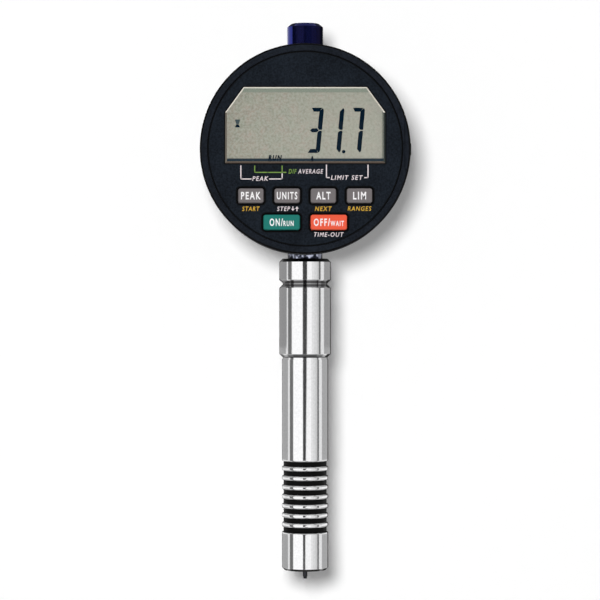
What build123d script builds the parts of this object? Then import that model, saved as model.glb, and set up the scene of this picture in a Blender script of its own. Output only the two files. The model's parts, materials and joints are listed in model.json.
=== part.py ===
from build123d import *
import math
import os

# A digital durometer: a round digital indicator on a steel barrel with a spring-loaded indenter.
# Sizes are in millimetres. The origin is the centre of the presser foot's face, +Z runs up the
# barrel to the head, and the display faces -Y. Depths in the head are measured from the
# spindle's axis and grow towards the display.

# Clearances, each on one side
FIT = 0.02  # between fixed pieces that are screwed or pressed together
RUN = 0.05  # between a shaft and its bearing
SLIDE = 0.12  # between a flat slider and its guide
REST_GAP = 0.1  # between a moving piece and what it rests on
STEP_GAP = 0.2  # between layers that move past each other

# Presser foot and indenter, type A
BARREL_DIA = 12.7
FOOT_LENGTH = 10.6
FOOT_CHAMFER = 0.65
FOOT_HOLE_DIA = 3.0
FOOT_FACE = 2.5
SPIGOT_LENGTH = 4.8
INDENTER_DIA = 1.27
TIP_DIA = 0.79
TIP_ANGLE = 35.0
INDENTER_REACH = 2.5
INDENTER_SEAT = 5.0

# Plunger and its spring
PLUNGER_DIA = 4.0
PLUNGER_LIFT = 0.5  # from the foot's inner face to the plunger's end
SHOULDER_GAP = 0.6  # to the barrel's bore
SHOULDER_LENGTH = 2.0
GUIDE_BUSH_DIA = 6.0
GUIDE_BUSH_LENGTH = 10.0
SPRING_LENGTH = 32.0
SPRING_DIA = 6.6  # at the middle of the wire
SPRING_WIRE = 1.0
SPRING_TURNS = 11
ADJUSTER_LENGTH = 5.0
ADJUSTER_SLOT = 1.5

# Barrel and grip
BARREL_LENGTH = 47.7
BARREL_WALL = 1.65
NECK_STEP = 0.65  # in from the barrel's surface
NECK_LENGTH = 6.0
RELIEF_DEPTH = 0.2
RELIEF_HEIGHT = 0.5
GRIP_BANDS = 8
BAND_HEIGHT = 1.2
RIB_HEIGHT = 1.37
RIB_ROUND = 0.5
GROOVE_DEPTH = 1.0
RING_SINK = 0.45
RING_ROUND = 0.2

# Collar
COLLAR_STEP = 0.75  # out from the barrel's surface
COLLAR_LENGTH = 27.1
COLLAR_TOP_CHAMFER = 0.9
COLLAR_FOOT_CHAMFER = 1.0
VEE_DEPTH = 1.0
VEE_FLAT = 0.25
VEE_FROM_TOP = 6.9
CLAMP_SCREW_DIA = 3.0
CLAMP_SCREW_FROM_TOP = 14.4
CLAMP_SCREW_SINK = 0.4
CLAMP_SCREW_KEY = 1.5  # across the flats of its socket
CLAMP_SCREW_KEY_DEPTH = 1.2

# Stem, spindle and dust cap
STEM_DIA = 9.52
STEM_NECK_GAP = 2.1  # from the barrel's neck to the stem
STEM_BORE_DIA = 5.0
STEM_END_CHAMFER = 0.4
SPINDLE_DIA = 4.0
SPINDLE_BUSH_DIA = 6.4
STEM_BUSH_LENGTH = 8.0
UPPER_BUSH_LENGTH = 10.0
CONTACT_LENGTH = 4.0
CONTACT_SEAT = 0.5  # inside the stem
CAP_DIA = 9.85
CAP_LENGTH = 9.95
CAP_CHAMFER_WIDTH = 1.1
CAP_CHAMFER_HEIGHT = 0.9
CAP_ROOF = 1.5
CAP_SEAT_CUT = 0.6  # of the flat under the cap, below the case's crown
CAP_NECK_DIA = 7.8
CAP_NECK_LENGTH = 4.8
SPINDLE_TOP_ROOM = 5.0  # under the cap's roof

# Rear case of the indicator
HEAD_GAP = 0.9  # between the collar and the display housing
CASE_DIA = 52.0
CASE_WALL = 1.6
CASE_FRONT_WALL = 1.5
CASE_FRONT = 5.5
CASE_BACK = 9.0
CASE_EDGE = 0.4
STEM_BOSS_DIA = 13.0
STEM_BOSS_HEIGHT = 6.6  # inside the case
STEM_BOSS_DROP = 1.3  # below the case
TOP_BOSS_DIA = 10.4
TOP_BOSS_HEIGHT = 8.2
COVER_THICKNESS = 2.0
COVER_EDGE = 0.8
COVER_PANEL_DIA = 34.0
COVER_PANEL_DEPTH = 0.3
GASKET_WIDTH = 0.8
GASKET_DEPTH = 0.6
BACK_SCREW_LENGTH = 5.5
BACK_BOSS_DIA = 4.4
BACK_BOSS_INSET = 1.8  # from the case's bore to the screw
BACK_BOSS_HEIGHT = 6.0

# Countersunk and pan head screws
FLAT_SCREW_DIA = 2.0
FLAT_HEAD_DIA = 3.6
PAN_SCREW_DIA = 1.6
PAN_HEAD_DIA = 2.8
PAN_HEAD_HEIGHT = 0.9
SCREW_CROSS_WIDTH = 0.4
SCREW_CROSS_DEPTH = 0.5

# Linear encoder
CARRIER_BELOW_CENTRE = 6.8
CARRIER_HEIGHT = 6.0
CARRIER_LEFT = 5.5
CARRIER_FRONT_GAP = 0.8  # to the case's front wall
CARRIER_BACK = 3.4
CARRIER_SCREW_DIA = 2.0
SCALE_WIDTH = 8.0
SCALE_LENGTH = 22.0
SCALE_THICKNESS = 0.8
READER_GAP = 0.4
READER_WIDTH = 28.0
READER_BOSS_GAP = 0.38  # above the lower screw bosses
READER_BOARD = 1.2
READER_POST_DIA = 3.6
READER_POST_INSET = 2.0
READER_SCREW_LENGTH = 4.0
ROD_DIA = 2.0
ROD_OFFSET = 9.0
ROD_LENGTH = 30.0
ROD_LUG = 3.0
ROD_WALL = 1.2
RETURN_SPRING_DIA = 5.4
RETURN_SPRING_WIRE = 0.4
RETURN_SPRING_TURNS = 8
FLEX_THICKNESS = 0.25
FLEX_WIDTH = 4.0
FLEX_OFFSET = 8.6

# Hub that the display turns on
HUB_TRAY_GAP = 2.05  # between the nut and the battery tray
HUB_WALL = 2.5
HUB_END = 0.3  # past the nut
HUB_WASHER_WIDTH = 2.0
HUB_WASHER_HEIGHT = 0.6
HUB_WASHER_THICKNESS = 0.3
HUB_NUT_WIDTH = 2.5
HUB_NUT_HEIGHT = 1.2
HUB_NUT_SLOT = 2.0
SLIP_RING_WIDTH = 3.0

# Display housing
HOUSING_DIA = 56.4
HOUSING_WALL = 1.5
HOUSING_FRONT = 1.5
HOUSING_EDGE = 0.7
RIM_WIDTH = 2.0
RIM_PROUD = 0.3
OVERLAY_THICKNESS = 0.5
OVERLAY_GAP = 0.15
PLATE_THICKNESS = 1.6
PLATE_SCREW_ANGLE = 50.0
PLATE_SCREW_LENGTH = 4.5
PLATE_BOSS_DIA = 5.4
PLATE_BOSS_INSET = 2.3  # from the housing's bore to the screw
BOARD_THICKNESS = 1.2
BOARD_INSET = 1.5

# Window and liquid crystal panel
WINDOW_SIDE = 4.7  # in from the overlay's edge
WINDOW_ABOVE = 9.65  # down from the overlay's edge
WINDOW_OVER_KEYS = 8.7  # up from the middle of the upper keys
WINDOW_CUT_WIDTH = 4.9
WINDOW_CUT_HEIGHT = 6.74
WINDOW_PROUD = 0.5
WINDOW_BEVEL = 0.5
LCD_MARGIN = 1.2
LCD_THICKNESS = 2.2
LCD_GAP = 0.1
HOLDER_WALL = 1.0
HOLDER_LUG_DIA = 4.0
HOLDER_LUG_ROOM = 3.55  # between a lug's screw and the battery tray
STRIP_WIDTH = 1.5
STRIP_HEIGHT = 1.5
STRIP_LENGTH = 30.0
BOARD_SCREW_LENGTH = 3.6

# Keys
KEY_WIDTH = 6.7
KEY_HEIGHT = 3.85
KEY_GAP = 2.97
KEY_ROW_RISE = 7.1  # from the lower row to the upper one
WIDE_KEY_WIDTH = 9.66
WIDE_KEY_HEIGHT = 4.0
WIDE_KEY_GAP = 2.94
WIDE_KEY_BELOW = 6.35  # up from the overlay's edge
KEY_ROUND = 0.6
KEY_EDGE = 0.25
KEY_PROUD = 0.6
KEY_MOAT = 0.5  # open ring in the overlay around a key
KEY_FLANGE = 0.6
MAT_THICKNESS = 0.8
MAT_MARGIN = 1.0
PAD_BASE_INSET = 0.4
PAD_TOP_INSET = 1.0

# Battery drawer on the right
DRAWER_LAND = 1.55  # from the housing's side to the drawer's seam
DRAWER_RISE = 1.5  # of its middle above the head's centre
DRAWER_MARGIN = 0.5  # past the tray, above and below
DRAWER_ROUND = 0.9
TRAY_FLOOR = 0.7
TRAY_WALL = 0.8
CELL_DIA = 12.5
CELL_THICKNESS = 2.5
CELL_GAP = 0.15
CELL_EDGE = 0.3
CELL_ABOVE_TRAY = 0.2
CONTACT_HEIGHT = 0.5
CONTACT_WIDTH = 2.4
CONTACT_SPACING = 6.0
NAIL_RIB_HEIGHT = 3.2
NAIL_RIB_LENGTH = 6.0
NAIL_RIB_PROUD = 0.2

# Data port on the left
PORT_HEIGHT = 5.7
PORT_DEPTH = 4.6
PORT_PROUD = 0.1
PORT_FLANGE = 0.8
PORT_ROUND = 0.8
PORT_BODY_INSET = 0.8
PORT_TONGUE_INSET = 1.3
PORT_TONGUE = 2.6  # inside the jack
JACK_INSET = 0.8  # from the housing's bore to the jack's mouth
JACK_LENGTH = 6.5
JACK_WALL = 0.8

# Small electronics
CHIP_SIZE = 9.0
CHIP_HEIGHT = 1.0
CHIP_X = -8.0
CHIP_FROM_EDGE = 11.5  # up from the board's edge
CRYSTAL_DIA = 2.0
CRYSTAL_LENGTH = 6.0
CRYSTAL_X = 2.0
CRYSTAL_FROM_EDGE = 8.5

# Diameters that follow along the barrel
barrel_bore_dia = BARREL_DIA - 2 * BARREL_WALL
neck_dia = BARREL_DIA - 2 * NECK_STEP
collar_dia = BARREL_DIA + 2 * COLLAR_STEP
shoulder_dia = barrel_bore_dia - 2 * SHOULDER_GAP

# Heights that follow along the barrel
spigot_top = FOOT_LENGTH + SPIGOT_LENGTH
plunger_bottom = FOOT_FACE + PLUNGER_LIFT
indenter_top = plunger_bottom + INDENTER_SEAT
shoulder_bottom = spigot_top + REST_GAP
shoulder_top = shoulder_bottom + SHOULDER_LENGTH
adjuster_bottom = shoulder_top + SPRING_LENGTH
collar_bottom = FOOT_LENGTH + BARREL_LENGTH
neck_top = collar_bottom + NECK_LENGTH
collar_top = collar_bottom + COLLAR_LENGTH
stem_bottom = neck_top + STEM_NECK_GAP
contact_top = stem_bottom + CONTACT_SEAT
contact_bottom = contact_top - CONTACT_LENGTH
plunger_top = contact_bottom - REST_GAP
clamp_screw_z = collar_top - CLAMP_SCREW_FROM_TOP
vee_z = collar_top - VEE_FROM_TOP

# Radii and heights that follow in the head
housing_r = HOUSING_DIA / 2
housing_bore_r = housing_r - HOUSING_WALL
case_r = CASE_DIA / 2
case_bore_r = case_r - CASE_WALL
overlay_r = housing_r - RIM_WIDTH - OVERLAY_GAP
board_r = housing_bore_r - BOARD_INSET
head_z = collar_top + HEAD_GAP + max(housing_r, case_r + STEM_BOSS_DROP)
stem_top = head_z - case_bore_r + STEM_BOSS_HEIGHT
top_boss_bottom = head_z + case_bore_r - TOP_BOSS_HEIGHT
cap_seat = head_z + case_r - CAP_SEAT_CUT
cap_top = cap_seat + CAP_LENGTH
spindle_top = cap_top - CAP_ROOF - SPINDLE_TOP_ROOM
carrier_bottom = head_z - CARRIER_BELOW_CENTRE
carrier_top = carrier_bottom + CARRIER_HEIGHT
encoder_y = -CARRIER_BELOW_CENTRE / 2  # from the head's centre
back_boss_side = (case_bore_r - BACK_BOSS_INSET) / math.sqrt(2)
reader_height = 2 * (back_boss_side - BACK_BOSS_DIA / 2 - READER_BOSS_GAP + encoder_y)
rod_bottom = head_z + encoder_y - ROD_LENGTH / 2

# Places that follow on the display's face, from the head's centre
wide_key_row = WIDE_KEY_BELOW - overlay_r
key_row = wide_key_row + KEY_ROW_RISE
key_pitch = KEY_WIDTH + KEY_GAP
wide_key_pitch = WIDE_KEY_WIDTH + WIDE_KEY_GAP
window_side = overlay_r - WINDOW_SIDE
window_top = overlay_r - WINDOW_ABOVE
window_bottom = key_row + WINDOW_OVER_KEYS

# Depths that follow in the head, from the spindle's axis to the display
case_inner = CASE_FRONT - CASE_FRONT_WALL
carrier_front = case_inner - CARRIER_FRONT_GAP
plate_back = CASE_FRONT + STEP_GAP
plate_front = plate_back + PLATE_THICKNESS
washer_back = plate_front + RUN
nut_back = washer_back + HUB_WASHER_HEIGHT
hub_front = nut_back + HUB_NUT_HEIGHT + HUB_END
tray_back = plate_front + STEP_GAP
cell_back = tray_back + TRAY_FLOOR + FIT
cell_front = cell_back + CELL_THICKNESS
tray_front = cell_front - CELL_ABOVE_TRAY
board_back = cell_front + REST_GAP + CONTACT_HEIGHT
board_front = board_back + BOARD_THICKNESS
lcd_back = board_front + STRIP_HEIGHT
lcd_front = lcd_back + LCD_THICKNESS
wall_back = lcd_front + LCD_GAP
wall_front = wall_back + HOUSING_FRONT
face_front = wall_front + OVERLAY_THICKNESS
rim_front = face_front + RIM_PROUD
key_front = face_front + KEY_PROUD
key_flange_front = wall_back - REST_GAP / 2
key_flange_back = key_flange_front - KEY_FLANGE
window_front = face_front + WINDOW_PROUD
reader_front = CARRIER_BACK + SCALE_THICKNESS + READER_GAP
reader_back = reader_front + READER_BOARD
cover_back = CASE_BACK + COVER_THICKNESS

# Places that follow in the drawer and the port
seam_x = housing_r - DRAWER_LAND
tray_reach = CELL_DIA / 2 + CELL_GAP + TRAY_WALL
cell_x = seam_x - tray_reach
tray_left = cell_x - tray_reach
drawer_top = DRAWER_RISE + tray_reach + DRAWER_MARGIN
drawer_bottom = DRAWER_RISE - tray_reach - DRAWER_MARGIN
jack_back = plate_front + STEP_GAP
port_depth = (board_back + jack_back) / 2
port_face_x = -housing_r - PORT_PROUD
port_seat_x = port_face_x + PORT_FLANGE
jack_mouth_x = -housing_bore_r + JACK_INSET

# Diameters that follow in the hub, which fills the room beside the battery tray
hub_nut_dia = 2 * (tray_left - HUB_TRAY_GAP)
hub_dia = hub_nut_dia - 2 * HUB_NUT_WIDTH
hub_bore_dia = hub_dia - 2 * HUB_WALL
hub_washer_dia = hub_dia + 2 * HUB_WASHER_WIDTH

# The head's own frame: x right, y up and z towards the display, from the head's centre
HEAD = Plane(origin=(0, 0, head_z), x_dir=(1, 0, 0), z_dir=(0, -1, 0)).location

KEYS = {
    "key_hold": (-1.5 * key_pitch, key_row, KEY_WIDTH, KEY_HEIGHT),
    "key_unit": (-0.5 * key_pitch, key_row, KEY_WIDTH, KEY_HEIGHT),
    "key_second": (0.5 * key_pitch, key_row, KEY_WIDTH, KEY_HEIGHT),
    "key_limit": (1.5 * key_pitch, key_row, KEY_WIDTH, KEY_HEIGHT),
    "key_on": (-0.5 * wide_key_pitch, wide_key_row, WIDE_KEY_WIDTH, WIDE_KEY_HEIGHT),
    "key_off": (0.5 * wide_key_pitch, wide_key_row, WIDE_KEY_WIDTH, WIDE_KEY_HEIGHT),
}


def turned(*points):
    """Solid of revolution about Z of a closed outline of (radius, height) points."""
    outline = Polyline(*[(radius, 0, height) for radius, height in points], close=True)
    return revolve(make_face(outline), Axis.Z)


def tube(outer_dia, inner_dia, bottom, top):
    return turned(
        (inner_dia / 2, bottom),
        (outer_dia / 2, bottom),
        (outer_dia / 2, top),
        (inner_dia / 2, top),
    )


def round_rims(body, dia, bottom, top, amount):
    """Round a turned body's rims of one diameter between two heights."""

    def chosen(rim):
        return abs(rim.radius - dia / 2) < FIT and bottom - FIT < rim.center().Z < top + FIT

    return fillet(body.edges().filter_by(GeomType.CIRCLE).filter_by(chosen), amount)


def rod(dia, bottom, top, x=0.0):
    return Pos(x, 0, bottom) * extrude(Circle(dia / 2), top - bottom)


def block(x_range, y_range, z_range):
    """Box between two values on each axis."""
    low, high = zip(x_range, y_range, z_range)
    size = [b - a for a, b in zip(low, high)]
    return Pos(*low) * Box(*size, align=(Align.MIN, Align.MIN, Align.MIN))


def slab(outline, back, front):
    """An outline drawn on the display's face, as a solid between two depths."""
    return HEAD * Pos(0, 0, back) * extrude(outline, front - back)


def spot(dia, x, y, back, front):
    """A round peg or hole along the display's axis."""
    return slab(Pos(x, y) * Circle(dia / 2), back, front)


def four_ways(x, y):
    """A place and its mirror images to the left and below."""
    return [(i * x, j * y) for i in (-1, 1) for j in (-1, 1)]


def joined(solids):
    """Several separate solids kept together as one node."""
    return Compound(children=list(solids))


def tangent_arcs(start, start_way, end, end_way):
    """Two arcs that leave start and reach end along the given ways."""
    chord = end - start
    ways = start_way + end_way
    spread = 2 * (1 - start_way.dot(end_way))
    along = chord.dot(ways)
    reach = (math.sqrt(along**2 + spread * chord.dot(chord)) - along) / spread
    middle = (start + end + (start_way - end_way) * reach) * 0.5
    middle_way = (chord - ways * reach).normalized()
    return [
        TangentArc(start, middle, tangent=start_way),
        TangentArc(middle, end, tangent=middle_way),
    ]


def coil(mean_dia, wire_dia, bottom, top, turns):
    """Round wire wound about Z between two heights, in quarter turns."""
    radius = mean_dia / 2
    first = bottom + wire_dia / 2 + REST_GAP
    climb = (top - wire_dia / 2 - REST_GAP - first) / turns
    spans = 4 * turns

    def place(span):
        turn = math.tau * span / 4
        return Vector(radius * math.cos(turn), radius * math.sin(turn), first + climb * span / 4)

    def way(span):
        turn = math.tau * span / 4
        around = math.tau * radius
        return Vector(-around * math.sin(turn), around * math.cos(turn), climb).normalized()

    path = []
    for span in range(spans):
        path += tangent_arcs(place(span), way(span), place(span + 1), way(span + 1))
    section = Plane(origin=place(0), z_dir=way(0)) * Circle(wire_dia / 2)
    return sweep(section, path=Wire(path))


def cross_slot(dia, depth):
    """Cross recess at the origin, cut upwards from a screw's outer face."""
    arm = Rectangle(dia * 0.6, SCREW_CROSS_WIDTH) + Rectangle(SCREW_CROSS_WIDTH, dia * 0.6)
    return extrude(arm, depth)


def flat_screw(length):
    """Countersunk screw with its face at the origin, pointing along +Z."""
    head, thread = FLAT_HEAD_DIA / 2, FLAT_SCREW_DIA / 2
    body = turned((0, 0), (head, 0), (thread, head - thread), (thread, length), (0, length))
    return body - cross_slot(FLAT_HEAD_DIA, SCREW_CROSS_DEPTH)


def flat_screw_hole(length):
    head, thread = FLAT_HEAD_DIA / 2 + FIT, FLAT_SCREW_DIA / 2 + FIT
    end = length + FIT
    return turned((0, 0), (head, 0), (thread, head - thread), (thread, end), (0, end))


def pan_screw(length):
    """Pan head screw with the underside of its head at the origin, pointing along +Z."""
    head, thread = PAN_HEAD_DIA / 2, PAN_SCREW_DIA / 2
    body = turned(
        (0, -PAN_HEAD_HEIGHT),
        (head - PAN_HEAD_HEIGHT / 3, -PAN_HEAD_HEIGHT),
        (head, -PAN_HEAD_HEIGHT * 2 / 3),
        (head, 0),
        (thread, 0),
        (thread, length),
        (0, length),
    )
    slot = Pos(0, 0, -PAN_HEAD_HEIGHT) * cross_slot(PAN_HEAD_DIA, SCREW_CROSS_DEPTH)
    return body - slot


# Barrel


def presser_foot():
    outer, spigot = BARREL_DIA / 2, barrel_bore_dia / 2 - FIT
    seat = GUIDE_BUSH_DIA / 2 + FIT
    body = turned(
        (FOOT_HOLE_DIA / 2, 0),
        (outer - FOOT_CHAMFER, 0),
        (outer, FOOT_CHAMFER),
        (outer, FOOT_LENGTH),
        (spigot, FOOT_LENGTH),
        (spigot, spigot_top),
        (seat, spigot_top),
        (seat, FOOT_FACE),
        (FOOT_HOLE_DIA / 2, FOOT_FACE),
    )
    return round_rims(body, BARREL_DIA, FOOT_LENGTH, FOOT_LENGTH, RIB_ROUND)


def guide_bush():
    bore = PLUNGER_DIA + 2 * RUN
    return tube(GUIDE_BUSH_DIA, bore, FOOT_FACE, FOOT_FACE + GUIDE_BUSH_LENGTH)


def indenter():
    shank, tip = INDENTER_DIA / 2, TIP_DIA / 2
    cone = (shank - tip) / math.tan(math.radians(TIP_ANGLE / 2))
    return turned(
        (0, -INDENTER_REACH),
        (tip, -INDENTER_REACH),
        (shank, cone - INDENTER_REACH),
        (shank, indenter_top),
        (0, indenter_top),
    )


def plunger():
    shaft, shoulder = PLUNGER_DIA / 2, shoulder_dia / 2
    seat = INDENTER_DIA / 2 + FIT
    return turned(
        (seat, plunger_bottom),
        (shaft, plunger_bottom),
        (shaft, shoulder_bottom),
        (shoulder, shoulder_bottom),
        (shoulder, shoulder_top),
        (shaft, shoulder_top),
        (shaft, plunger_top),
        (0, plunger_top),
        (0, indenter_top + FIT),
        (seat, indenter_top + FIT),
    )


def main_spring():
    return coil(SPRING_DIA, SPRING_WIRE, shoulder_top, adjuster_bottom, SPRING_TURNS)


def spring_adjuster():
    outer = barrel_bore_dia - 2 * FIT
    top = adjuster_bottom + ADJUSTER_LENGTH
    body = tube(outer, PLUNGER_DIA + 2 * RUN, adjuster_bottom, top)
    half = ADJUSTER_SLOT / 2
    return body - block((-outer, outer), (-half, half), (top - ADJUSTER_SLOT, top))


def band_bottoms():
    return [FOOT_LENGTH + i * (BAND_HEIGHT + RIB_HEIGHT) for i in range(GRIP_BANDS)]


def lower_barrel():
    outer, bore, neck = BARREL_DIA / 2, barrel_bore_dia / 2, neck_dia / 2
    relief = outer - RELIEF_DEPTH
    body = turned(
        (bore, FOOT_LENGTH),
        (outer, FOOT_LENGTH),
        (outer, collar_bottom - RELIEF_HEIGHT),
        (relief, collar_bottom - RELIEF_HEIGHT),
        (relief, collar_bottom),
        (neck, collar_bottom),
        (neck, neck_top),
        (bore, neck_top),
    )
    for bottom in band_bottoms():
        body -= tube(2 * BARREL_DIA, BARREL_DIA - 2 * GROOVE_DEPTH, bottom, bottom + BAND_HEIGHT)
    return round_rims(body, BARREL_DIA, FOOT_LENGTH, band_bottoms()[-1] + BAND_HEIGHT, RIB_ROUND)


def grip_rings():
    """Rubber rings with rounded edges, one in each groove of the grip."""
    inner = BARREL_DIA / 2 - GROOVE_DEPTH + FIT
    outer = BARREL_DIA / 2 - RING_SINK
    width, height = outer - inner, BAND_HEIGHT - 2 * FIT
    section = Rectangle(width, height)
    section = fillet(section.vertices().sort_by(Axis.X)[2:], RING_ROUND)
    upright = Plane.XZ * Pos(inner + width / 2, 0) * section
    ring = revolve(upright, Axis.Z)
    return joined(Pos(0, 0, bottom + BAND_HEIGHT / 2) * ring for bottom in band_bottoms())


def clamp_screw_hole():
    """Radial hole behind the collar, for the screw that clamps the stem."""
    axis = Plane(origin=(0, 0, clamp_screw_z), x_dir=(1, 0, 0), z_dir=(0, 1, 0)).location
    return axis * extrude(Circle(CLAMP_SCREW_DIA / 2 + FIT), collar_dia)


def upper_barrel():
    outer, seat, bore = collar_dia / 2, neck_dia / 2 + FIT, STEM_DIA / 2 + FIT
    half_mouth = VEE_DEPTH + VEE_FLAT / 2
    body = turned(
        (seat, collar_bottom),
        (outer - COLLAR_FOOT_CHAMFER, collar_bottom),
        (outer, collar_bottom + COLLAR_FOOT_CHAMFER),
        (outer, vee_z - half_mouth),
        (outer - VEE_DEPTH, vee_z - VEE_FLAT / 2),
        (outer - VEE_DEPTH, vee_z + VEE_FLAT / 2),
        (outer, vee_z + half_mouth),
        (outer, collar_top - COLLAR_TOP_CHAMFER),
        (outer - COLLAR_TOP_CHAMFER, collar_top),
        (bore, collar_top),
        (bore, neck_top + FIT),
        (seat, neck_top + FIT),
    )
    return body - clamp_screw_hole()


def stem_screw():
    """Set screw with a hexagon socket, from the stem to just under the collar's surface."""
    axis = Plane(origin=(0, 0, clamp_screw_z), x_dir=(1, 0, 0), z_dir=(0, 1, 0)).location
    inner, outer = STEM_DIA / 2 + FIT, collar_dia / 2 - CLAMP_SCREW_SINK
    body = Pos(0, 0, inner) * extrude(Circle(CLAMP_SCREW_DIA / 2), outer - inner)
    hexagon = RegularPolygon(CLAMP_SCREW_KEY / 2, 6, major_radius=False)
    socket = Pos(0, 0, outer - CLAMP_SCREW_KEY_DEPTH) * extrude(hexagon, CLAMP_SCREW_KEY_DEPTH)
    return axis * (body - socket)


# Spindle and its bearings


def stem():
    outer, bore, seat = STEM_DIA / 2, STEM_BORE_DIA / 2, SPINDLE_BUSH_DIA / 2 + FIT
    bush_top = stem_bottom + STEM_BUSH_LENGTH
    return turned(
        (seat, stem_bottom),
        (outer - STEM_END_CHAMFER, stem_bottom),
        (outer, stem_bottom + STEM_END_CHAMFER),
        (outer, stem_top),
        (bore, stem_top),
        (bore, bush_top),
        (seat, bush_top),
    )


def stem_bush():
    bore = SPINDLE_DIA + 2 * RUN
    return tube(SPINDLE_BUSH_DIA, bore, stem_bottom, stem_bottom + STEM_BUSH_LENGTH)


def upper_bush():
    bore = SPINDLE_DIA + 2 * RUN
    return tube(SPINDLE_BUSH_DIA, bore, top_boss_bottom, top_boss_bottom + UPPER_BUSH_LENGTH)


def contact_point():
    ball = SPINDLE_DIA / 2
    centre = contact_bottom + ball
    return rod(SPINDLE_DIA, centre, contact_top) + Pos(0, 0, centre) * Sphere(ball)


def spindle():
    return rod(SPINDLE_DIA, contact_top, spindle_top)


def dust_cap():
    outer, neck, room = CAP_DIA / 2, CAP_NECK_DIA / 2 + FIT, SPINDLE_BUSH_DIA / 2
    neck_end = cap_seat + CAP_NECK_LENGTH + FIT
    return turned(
        (neck, cap_seat),
        (outer, cap_seat),
        (outer, cap_top - CAP_CHAMFER_HEIGHT),
        (outer - CAP_CHAMFER_WIDTH, cap_top),
        (0, cap_top),
        (0, cap_top - CAP_ROOF),
        (room, cap_top - CAP_ROOF),
        (room, neck_end),
        (neck, neck_end),
    )


# Rear case of the indicator


def reader_post_places():
    x, y = READER_WIDTH / 2 - READER_POST_INSET, reader_height / 2 - READER_POST_INSET
    return [(left, encoder_y + up) for left, up in four_ways(x, y)]


def back_screw_places():
    return four_ways(back_boss_side, back_boss_side)


def rear_case():
    hub = hub_dia / 2 + FIT
    body = HEAD * turned(
        (hub, case_inner),
        (case_bore_r, case_inner),
        (case_bore_r, -CASE_BACK),
        (case_r, -CASE_BACK),
        (case_r, CASE_FRONT - CASE_EDGE),
        (case_r - CASE_EDGE, CASE_FRONT),
        (hub, CASE_FRONT),
    )
    case_bottom = head_z - case_r
    behind_front = block((-case_r, case_r), (-CASE_FRONT, case_r), (0, 2 * head_z))
    body += rod(STEM_BOSS_DIA, case_bottom - STEM_BOSS_DROP, stem_top) & behind_front
    body += rod(TOP_BOSS_DIA, top_boss_bottom, head_z + case_r - CAP_SEAT_CUT)
    body -= tube(2 * CAP_DIA, CAP_NECK_DIA, cap_seat, head_z + case_r)
    body += rod(CAP_NECK_DIA, cap_seat, cap_seat + CAP_NECK_LENGTH)
    for x, y in back_screw_places():
        body += spot(BACK_BOSS_DIA, x, y, -CASE_BACK, BACK_BOSS_HEIGHT - CASE_BACK)
    for x, y in reader_post_places():
        body += spot(READER_POST_DIA, x, y, -reader_front, case_inner)
    for bottom in (rod_bottom, rod_bottom + ROD_LENGTH - ROD_LUG):
        reach = ROD_DIA / 2 + ROD_WALL
        span = (ROD_OFFSET - reach, ROD_OFFSET + reach)
        body += block(span, (-case_inner, reach), (bottom, bottom + ROD_LUG))
    body -= rod(STEM_DIA + 2 * FIT, 0, stem_top)
    body -= rod(SPINDLE_BUSH_DIA + 2 * FIT, top_boss_bottom, cap_top)
    body -= rod(ROD_DIA + 2 * FIT, rod_bottom, rod_bottom + ROD_LENGTH, ROD_OFFSET)
    for x, y in reader_post_places():
        hole_end = READER_SCREW_LENGTH - READER_BOARD + FIT
        body -= spot(PAN_SCREW_DIA + 2 * FIT, x, y, -reader_front, hole_end - reader_front)
    for x, y in back_screw_places():
        body -= HEAD * Pos(x, y, -cover_back) * flat_screw_hole(BACK_SCREW_LENGTH)
    groove = case_r - (CASE_WALL - GASKET_WIDTH) / 2
    body -= HEAD * tube(2 * groove, 2 * (groove - GASKET_WIDTH), -CASE_BACK, GASKET_DEPTH - CASE_BACK)
    return body


def back_gasket():
    outer = case_r - (CASE_WALL - GASKET_WIDTH) / 2 - FIT
    inner = outer - GASKET_WIDTH + 2 * FIT
    return HEAD * tube(2 * outer, 2 * inner, -CASE_BACK, GASKET_DEPTH - CASE_BACK - FIT)


def back_cover():
    panel = COVER_PANEL_DIA / 2
    body = HEAD * turned(
        (0, -cover_back + COVER_PANEL_DEPTH),
        (panel - COVER_PANEL_DEPTH, -cover_back + COVER_PANEL_DEPTH),
        (panel, -cover_back),
        (case_r - COVER_EDGE, -cover_back),
        (case_r, -cover_back + COVER_EDGE),
        (case_r, -CASE_BACK),
        (0, -CASE_BACK),
    )
    for x, y in back_screw_places():
        body -= HEAD * Pos(x, y, -cover_back) * flat_screw_hole(BACK_SCREW_LENGTH)
    return body


def back_screws():
    screw = flat_screw(BACK_SCREW_LENGTH)
    return joined(HEAD * Pos(x, y, -cover_back) * screw for x, y in back_screw_places())


# Linear encoder


def scale_carrier():
    right = ROD_OFFSET + ROD_DIA / 2 + ROD_WALL
    heights = (carrier_bottom, carrier_top)
    body = block((-CARRIER_LEFT, right), (-carrier_front, CARRIER_BACK), heights)
    body -= rod(SPINDLE_DIA + 2 * FIT, carrier_bottom, carrier_top)
    body -= rod(ROD_DIA + 2 * RUN, carrier_bottom, carrier_top, ROD_OFFSET)
    middle = (carrier_bottom + carrier_top) / 2
    sideways = Plane(origin=(0, 0, middle), x_dir=(0, 1, 0), z_dir=(-1, 0, 0)).location
    return body - sideways * extrude(Circle(CARRIER_SCREW_DIA / 2 + FIT), CARRIER_LEFT)


def carrier_screw():
    """Slotted set screw that holds the carrier on the spindle."""
    middle = (carrier_bottom + carrier_top) / 2
    sideways = Plane(origin=(0, 0, middle), x_dir=(0, 1, 0), z_dir=(-1, 0, 0)).location
    start = SPINDLE_DIA / 2 + FIT
    body = Pos(0, 0, start) * extrude(Circle(CARRIER_SCREW_DIA / 2), CARRIER_LEFT - start)
    slot = extrude(Rectangle(CARRIER_SCREW_DIA, SCREW_CROSS_WIDTH), SCREW_CROSS_DEPTH)
    return sideways * (body - Pos(0, 0, CARRIER_LEFT - SCREW_CROSS_DEPTH) * slot)


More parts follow.
